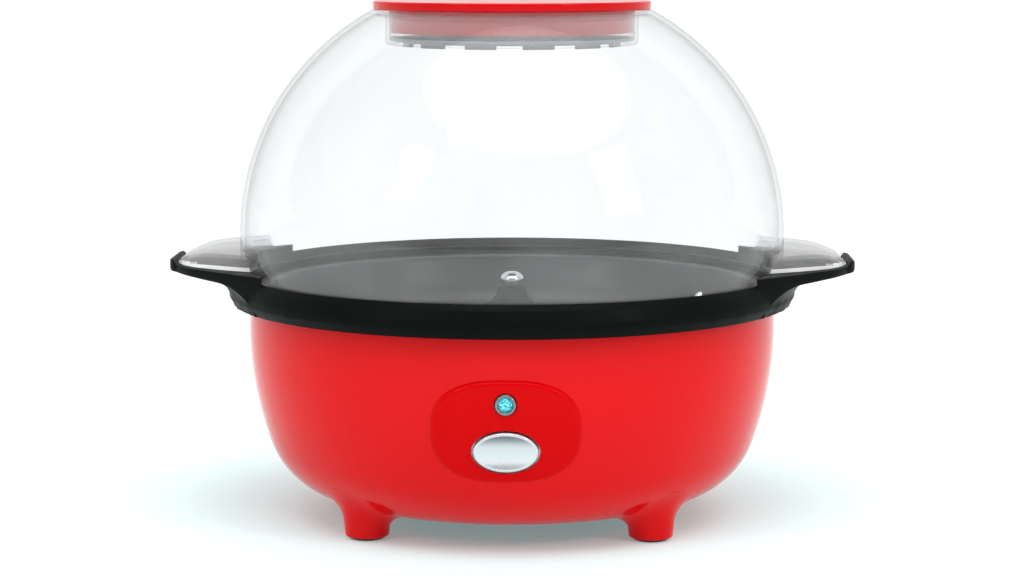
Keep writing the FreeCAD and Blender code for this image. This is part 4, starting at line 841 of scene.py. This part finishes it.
# ---- the black collar with its wings --------------------------------------------------------------
def wing_bottom(x, y):
    """Height of the underside of a wing, which curves up from the collar and then runs out flat."""
    r = math.hypot(x, y)
    flat = 106.95 + 0.1 * (r - 132.5)
    if r >= 132.5:
        return flat
    share = min((132.5 - r) / 9.9, 1.0)
    return max(flat - 15.3 * (1 - math.sqrt(1 - share * share)), 94.6)


def rounded_off(x, end, corner):
    """How much a round corner takes off a half width at a distance along X."""
    share = max(0.0, min((x - (end - corner)) / corner, 1.0))
    return corner * (1 - math.sqrt(max(1 - share * share, 0.0)))


def wing_half(x):
    """Half of a wing's width at a distance along X."""
    t = max(0.0, min(1.0, (x - WING_ROOT) / 42.0))
    bow = 4.6 * t * (1 - t)
    half = WING_ROOT_HALF + (WING_TIP_HALF - WING_ROOT_HALF) * t + bow
    return half - rounded_off(x, WING_REACH, WING_CORNER)


def wing(side):
    """One wing handle, cut off where it meets the dome's seat."""
    stations = list(np.linspace(WING_ROOT, 142, 37)) + list(np.linspace(142.6, 148.8, 20))
    rounding = 1.15
    edge_top = 1.1
    edge_low = 1.0
    ends = [(WING_REACH - rounding + rounding * math.sin(a), rounding * (1 - math.cos(a)))
            for a in np.radians((15, 30, 45, 58, 70, 80, 90))]
    rows = []
    for x, inset in [(x, 0.0) for x in stations] + ends:
        half = wing_half(min(x, WING_REACH - 0.12)) - inset
        lift = max(0.0, min(1.0, (x - 146.3) / 2.0))
        top = WING_TOP + WING_LIP * lift * lift * (3 - 2 * lift) - inset
        row = []
        for y in np.linspace(-(half - edge_low), half - edge_low, 41):
            row.append((x, y, wing_bottom(x, y) + inset))
        low = wing_bottom(x, half - edge_low) + inset
        under = [(half - edge_low + edge_low * math.sin(a), low + edge_low * (1 - math.cos(a)))
                 for a in np.radians((18, 36, 54, 72, 90))]
        row += [(x, y, z) for y, z in under]
        turn = [(half - edge_top + edge_top * math.cos(a), top - edge_top + edge_top * math.sin(a))
                for a in np.radians((0, 18, 36, 54, 72, 90))]
        row += [(x, y, z) for y, z in turn]
        row += [(x, y, top) for y in np.linspace(half - edge_top, -(half - edge_top), 21)[1:-1]]
        row += [(x, -y, z) for y, z in turn[::-1]]
        row += [(x, -y, z) for y, z in under[::-1]]
        rows.append([(side * px, py, pz) for px, py, pz in row])
    shape = Shape()
    shape.grid(rows, wrap=True)
    width = len(rows[0])
    shape.lid(0, width)
    shape.lid((len(rows) - 1) * width, width)
    item = shape.object("wing")
    core = Shape()
    core.lathe([(0.001, 80), (119.98, 80), (119.98, 130), (0.001, 130)])
    return combine(item, [core.object("core")], "DIFFERENCE")


def collar():
    """The ring between the housing and the dome, with both wings."""
    outline = soften(
        [(110.4, 88.5), (112.7, 88.5), (112.7, RIM_HEIGHT), (122.3, RIM_HEIGHT),
         (COLLAR_RADIUS, 98.2), (COLLAR_RADIUS, 101.0), (122.9, 106.0), (121.3, COLLAR_TOP),
         (119.95, COLLAR_TOP), (119.95, DOME_SEAT), (114.4, DOME_SEAT), (114.4, PAN_SEAT),
         (110.4, PAN_SEAT)],
        (0.4, 0.4, 0.2, 1.0, 2.6, 3.0, 2.4, 0.9, 0.35, 0.2, 0.5, 0.2, 0.5), 6)
    shape = Shape()
    shape.lathe(outline)
    item = shape.object("collar_satin")
    combine(item, [wing(1), wing(-1)], "UNION")
    piece(item, "base", "black_plastic", ["handle_collar"])


collar()


# ---- the clear dome -------------------------------------------------------------------------------
def dome_profile():
    """The dome's wall in section, up the outside, over its mouth, round the neck and down the inside."""
    top = math.degrees(math.asin((DOME_TOP - DOME_CENTRE[1]) / DOME_ARC))
    outer = [(DOME_RADIUS, DOME_SEAT + 0.4), (DOME_RADIUS, 110), (DOME_RADIUS, 117)]
    outer += arc(DOME_CENTRE, DOME_ARC, 0, top - 0.3, 60)
    lip = [(60.6, DOME_TOP - 0.05), (60.2, DOME_TOP), (54.6, DOME_TOP), (54.1, DOME_TOP - 0.1),
           (NECK_INNER, DOME_TOP - 0.6)]
    neck = [(NECK_INNER, 215), (NECK_INNER, 209.2), (53.5, 208.85), (50.9, 208.8), (NECK_LEDGE, 208.5),
            (NECK_LEDGE, 207.6), (50.9, NECK_LOW), (54.6, NECK_LOW), (55.4, 208.0), (55.4, 214),
            (55.4, 219.2), (55.9, 220.2), (57.0, 220.6)]
    inner_top = math.degrees(math.asin((220.6 - DOME_CENTRE[1]) / (DOME_ARC - DOME_WALL)))
    inner = arc(DOME_CENTRE, DOME_ARC - DOME_WALL, inner_top, 0, 56)
    room = DOME_RADIUS - DOME_WALL
    inner += [(room, 117), (room, 110), (room, DOME_SEAT + 0.4), (room + 0.3, DOME_SEAT),
              (DOME_RADIUS - 0.4, DOME_SEAT)]
    return outer + lip + neck + inner


def tab_skin(side, inset):
    """One face of the hollow cover over a wing, from its root in the dome to the foot of its end wall."""
    edge = 1.6 - 0.5 * inset
    reach = TAB_REACH - inset
    turns = np.radians(np.linspace(0, 90, 7))

    def half_at(x):
        t = (x - TAB_ROOT) / (TAB_REACH - TAB_ROOT)
        half = TAB_ROOT_HALF + (TAB_TIP_HALF - TAB_ROOT_HALF) * t + 9.0 * t * (1 - t)
        return half - rounded_off(x, reach, 9.0) - inset

    def top_at(x):
        share = max(0.0, min(1.0, (x - DOME_RADIUS) / (TAB_REACH - DOME_RADIUS)))
        return 118.4 - 4.6 * share + 2.0 * math.sin(math.pi * share**1.25) - inset

    def row(x, top):
        half = half_at(min(x, reach - 0.25))
        lean = 3.0 * (top - TAB_LOW) / 6.0
        high = half - lean
        soft = min(edge, (top - TAB_LOW) * 0.45)
        wall = [(half, TAB_LOW)]
        wall += [(half + (high - half) * k, TAB_LOW + (top - soft - TAB_LOW) * k) for k in (0.33, 0.66)]
        wall += [(high - soft + soft * math.cos(a), top - soft + soft * math.sin(a)) for a in turns]
        section = [(-y, z) for y, z in wall]
        section += [(y, top) for y in np.linspace(-(high - soft), high - soft, 19)[1:-1]]
        section += wall[::-1]
        return [(x, y, z) for y, z in section]

    rows = []
    for u in np.linspace(0, 1, 34):
        flat = []
        along = 118.4 + (reach - edge - 118.4) * u
        for _, y, z in row(along, top_at(along)):
            root = math.sqrt(118.6**2 - min(abs(y), 60.0) ** 2)
            x = root + (reach - edge - root) * u
            flat.append((x, y, z))
        rows.append(flat)
    for a in np.radians((15, 30, 45, 60, 75, 90)):
        x = reach - edge + edge * math.sin(a)
        rows.append(row(x, top_at(reach) - edge * (1 - math.cos(a))))
    for k in (0.6, 0.3, 0.02):
        rows.append(row(reach, TAB_LOW + (top_at(reach) - edge - TAB_LOW) * k))
    return [[(side * x, y, z) for x, y, z in r] for r in rows]


def dome():
    """The dome with the hollow covers over the wings, which are smoky and have a milky foot strip that is a
    painted highlight.
    """
    shape = Shape()
    shape.lathe(dome_profile())
    item = shape.object("dome_clear_shell", angle=40)
    for side in (1, -1):
        outer = tab_skin(side, 0.0)
        inner = tab_skin(side, TAB_WALL)
        tab = Shape()
        tab.grid(outer)
        tab.grid(inner, flip=True)
        rim_out = [r[0] for r in outer] + outer[-1][1:-1] + [r[-1] for r in outer[::-1]]
        rim_in = [r[0] for r in inner] + inner[-1][1:-1] + [r[-1] for r in inner[::-1]]
        tab.grid([rim_out, rim_in])
        join(item, tab.object("tab", angle=40))
    piece(item, "dome", "clear_plastic", ["dome_cover"])
    smoke = clear("tab_smoke", (0.90, 0.90, 0.905, 1), (0.72, 0.72, 0.73, 1), 0.06, 0.10)
    # painted highlight: the foot of each tab's wall gets a milky, mostly diffuse white standing in for the
    # bright reflection along it
    painted_highlight_strip = clear("tab_foot_painted_highlight", (0.9, 0.9, 0.9, 1), (0.8, 0.8, 0.8, 1), 0.10, 0.62)
    item.data.materials.append(smoke.material)
    item.data.materials.append(painted_highlight_strip.material)
    # painted highlight mask: near-vertical faces low on the tabs take the milky strip
    for face in item.data.polygons:
        x, y, z = face.center
        if math.hypot(x, y) / MM > DOME_RADIUS + 0.25:
            face.material_index = 2 if z / MM < TAB_LOW + 1.5 and abs(face.normal.z) < 0.8 else 1


dome()


# ---- the measuring cap ----------------------------------------------------------------------------
def cap():
    """The cap that is also a measuring cup: a dished top, an overhanging rim and a skirt."""
    outline = [(0.001, 224.4)]
    outline += [(20, 224.4), (40, 224.4), (50.6, 224.4), (51.3, 224.0), (51.6, 223.3)]
    outline += [(51.6, 220), (51.6, 214), (51.6, 212.7), (51.9, 212.4), (53.1, 212.4), (53.4, 212.7)]
    outline += [(53.4, 215), (53.4, 219), (53.4, 222.0), (53.7, DOME_TOP)]
    outline += soften([(59.0, DOME_TOP), (CAP_RADIUS, DOME_TOP), (CAP_RADIUS, CAP_TOP), (59.0, CAP_TOP)],
                      (0, 1.2, 1.2, 0), 9)
    outline += [(57.4, 226.15), (56.4, 226.0), (55.6, 225.9), (54.0, 225.9), (30.0, 225.95),
                (10.0, 226.0), (0.001, 226.0)]
    shape = Shape()
    shape.lathe(outline)
    piece(shape.object("cap_red", angle=35), "cap", "cap_plastic", ["measuring_cap"])


cap()


# ---- the button and the lamp ----------------------------------------------------------------------
def button():
    """The push button: an oval dish with a rounded rim, and the flange that keeps it in."""
    count = 200
    turns = np.linspace(0, 2 * math.pi, count, endpoint=False)
    rows = []

    def ring(inset, lift):
        row = []
        for t in turns:
            x = (BUTTON_HALF[0] - inset) * math.cos(t)
            z = BUTTON_HEIGHT + (BUTTON_HALF[1] - inset) * math.sin(t)
            row.append((x, front_y(x, z, proud(z) + 1.0 + lift), z))
        return row

    rows.append(ring(0.0, -7.0))
    rows.append(ring(0.0, -4.0))
    rows.append(ring(0.0, -1.6))
    for tilt in np.radians(np.linspace(0, 90, 9)):
        rows.append(ring(0.9 * (1 - math.cos(tilt)), -0.9 * (1 - math.sin(tilt))))
    rows.append(ring(1.15, -0.03))
    rows.append(ring(1.35, -0.12))
    for share in (0.97, 0.93, 0.88, 0.8, 0.7, 0.6, 0.5, 0.4, 0.3, 0.2, 0.1, 0.02):
        row = []
        for t in turns:
            x = (BUTTON_HALF[0] - 1.4) * share * math.cos(t)
            z = BUTTON_HEIGHT + (BUTTON_HALF[1] - 1.4) * share * math.sin(t)
            dip = 0.15 + 2.1 * (1 - share**2)
            row.append((x, front_y(x, z, proud(z) + 1.0 - dip), z))
        rows.append(row)
    shape = Shape()
    shape.grid(rows, wrap=True)
    shape.lid(0, count)
    shape.lid((len(rows) - 1) * count, count)
    item = shape.object("button_silvered", angle=60)
    back = oval(BUTTON_HEIGHT, (BUTTON_HALF[0] + 1.5, BUTTON_HALF[1] + 1.5), -104.8, -103.2, "flange")
    join(item, back)
    piece(item, "button", "silver_button", ["power_button"])


def lamp():
    """The lamp's bezel and its domed window."""
    bezel = Shape()
    bezel.lathe(
        soften([(3.12, -112.5), (3.12, -117.15), (BEZEL_RADIUS, -117.15), (BEZEL_RADIUS, -110.0),
                (3.7, -110.0), (3.7, -112.5)],
               (0, 0.45, 0.5, 0.2, 0, 0), 6),
        96, (0, LAMP_HEIGHT), "y")
    piece(bezel.object("lamp_bezel"), "base", "chrome", ["indicator_bezel"],
          metal("bezel_plate", linear(128, 134, 138), 0.22, (1, 1, 1), 0.05, 0.05))
    lens = Shape()
    lens.lathe([(0.001, -117.0), (0.8, -116.98), (1.6, -116.88), (2.3, -116.7), (2.8, -116.45),
                (3.05, -116.1), (3.08, -115.5), (3.08, -113.3), (0.001, -113.3)], 72, (0, LAMP_HEIGHT), "y")
    piece(lens.object("lamp_lens"), "base", "teal_lens", ["indicator_lens"])


button()
lamp()


# ---- the pan, the hub and the stirring rods -------------------------------------------------------
def pan():
    """The coated pan, with its flange on the collar."""
    floor = [(r, PAN_FLOOR) for r in (9.3, 30, 60, PAN_CORNER_CENTRE[0])]
    corner = arc(PAN_CORNER_CENTRE, PAN_CORNER, -90, -20, 16)[1:]
    wall = [(104.9, 93.0), (106.9, 98.6)]
    lip = [(107.4, 100.2), (108.0, 101.2), (109.0, 101.6), (113.2, 101.6), (113.9, 101.4), (114.0, 100.8),
           (113.9, 100.2), (113.2, PAN_SEAT), (110.0, PAN_SEAT), (109.4, 99.6)]
    under = [(108.9, 98.0), (105.2, 87.6)]
    under += arc(PAN_CORNER_CENTRE, PAN_CORNER + PAN_WALL, -20, -90, 14)[1:]
    under += [(r, PAN_FLOOR - PAN_WALL) for r in (60, 30, 9.3)]
    shape = Shape()
    shape.lathe(floor + corner + wall + lip + under)
    piece(shape.object("pan_coated", angle=40), "base", "nonstick", ["popping_pan"])


def stirrer():
    """A long and a short rod, bent up at their ends, the hub that holds them and its cap nut."""
    shape = Shape()
    for end, lift, turn in ((95.0, 9.0, 24), (76.0, 4.5, 204)):
        path = soften(
            [(4.6, 87.0), (20.0, 87.0), (30.0, 83.6), (end - 12.0, 83.6),
             (end - ROD_RADIUS, 83.6 + lift * 0.85)],
            (0, 9, 9, 9, 0), 9)
        c, s = math.cos(math.radians(turn)), math.sin(math.radians(turn))
        tube(shape, [(r * c, r * s, z) for r, z in path], ROD_RADIUS)
    piece(shape.object("rods_polished"), "stirrer", "rod_steel", ["stirring_rods"])
    hub = Shape()
    hub.lathe([(SHAFT_CLEAR, 82.6), (9.9, 82.6), (10.4, 82.8), (10.5, 83.4), (10.5, 89.2), (10.35, 91.0),
               (9.9, 92.6), (9.1, 94.2), (8.0, 95.8), (7.1, 97.2), (6.6, 98.6), (6.5, 99.8),
               (6.4, 100.6), (6.0, HUB_TOP), (SHAFT_CLEAR, HUB_TOP)], 96)
    piece(hub.object("hub_moulded", angle=40), "stirrer", "black_plastic", ["stir_hub"])
    nut = Shape()
    nut.lathe([(SHAFT_CLEAR, HUB_TOP), (4.9, HUB_TOP), (5.2, 101.3), (5.2, 103.6), (5.0, 104.4),
               (4.5, 105.2), (3.7, 106.0), (2.6, 106.6), (1.3, 106.93), (0.001, 107.0),
               (0.001, 103.2), (SHAFT_CLEAR, 103.2)], 72)
    piece(nut.object("nut_chromed", angle=40), "stirrer", "chrome", ["hub_nut"])


pan()
stirrer()


# ---- the spring behind the button -----------------------------------------------------------------
def spring():
    """A coil behind the button, with both of its ends closed flat."""
    steps = int(SPRING_TURNS * 40)
    path = []
    for i in range(steps + 1):
        share = i / steps
        eased = share - 0.45 * math.sin(2 * math.pi * share) / (2 * math.pi)
        y = SPRING_BACK - SPRING_WIRE - (SPRING_LENGTH - 2 * SPRING_WIRE) * eased
        a = 2 * math.pi * SPRING_TURNS * share
        path.append((SPRING_RADIUS * math.cos(a), y, BUTTON_HEIGHT + SPRING_RADIUS * math.sin(a)))
    shape = Shape()
    tube(shape, path, SPRING_WIRE, up=(0, 1, 0))
    coil = piece(shape.object("coil_spring"), "base", "steel", ["return_spring"])
    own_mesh(coil)


spring()


# ---- the pads and the cord gland ------------------------------------------------------------------
def pads():
    """The four rubber pads, each slightly hollow in the middle."""
    shape = Shape()
    outline = [(0.001, 0.35), (3.0, 0.35), (3.4, 0.3), (3.8, 0.0), (6.7, 0.0), (7.3, 0.2), (7.6, 0.8),
               (7.6, 3.0), (0.001, 3.0)]
    for sx in (1, -1):
        for sy in (1, -1):
            shape.lathe(outline, 64, (sx * LEG_AT[0], sy * LEG_AT[1]))
    piece(shape.object("pads_moulded"), "base", "rubber", ["rubber_foot_pads"])


def gland():
    """The cord gland: a flange inside, a collar on the boss and a ribbed nose."""
    nose = []
    for i in range(4):
        y = 114.4 + i * 1.75
        r = 6.3 - i * 0.3
        nose += [(r, y), (r, y + 0.95), (r - 0.55, y + 1.05), (r - 0.6, y + 1.65)]
    outline = soften(
        [(INLET_BORE, 99.5), (7.2, 99.5), (7.2, 102.5), (4.1, 102.5), (4.1, INLET_FACE),
         (8.0, INLET_FACE), (8.0, 113.4)],
        (0, 0.6, 0.6, 0, 0, 0.2, 0.7), 4)
    outline += [(6.6, 113.5)] + nose + [(5.0, 121.4), (4.8, 121.5), (INLET_BORE, 121.5)]
    shape = Shape()
    shape.lathe(outline, 72, (0, INLET_HEIGHT), "y")
    piece(shape.object("gland_moulded"), "base", "black_plastic", ["cord_gland"])


pads()
gland()
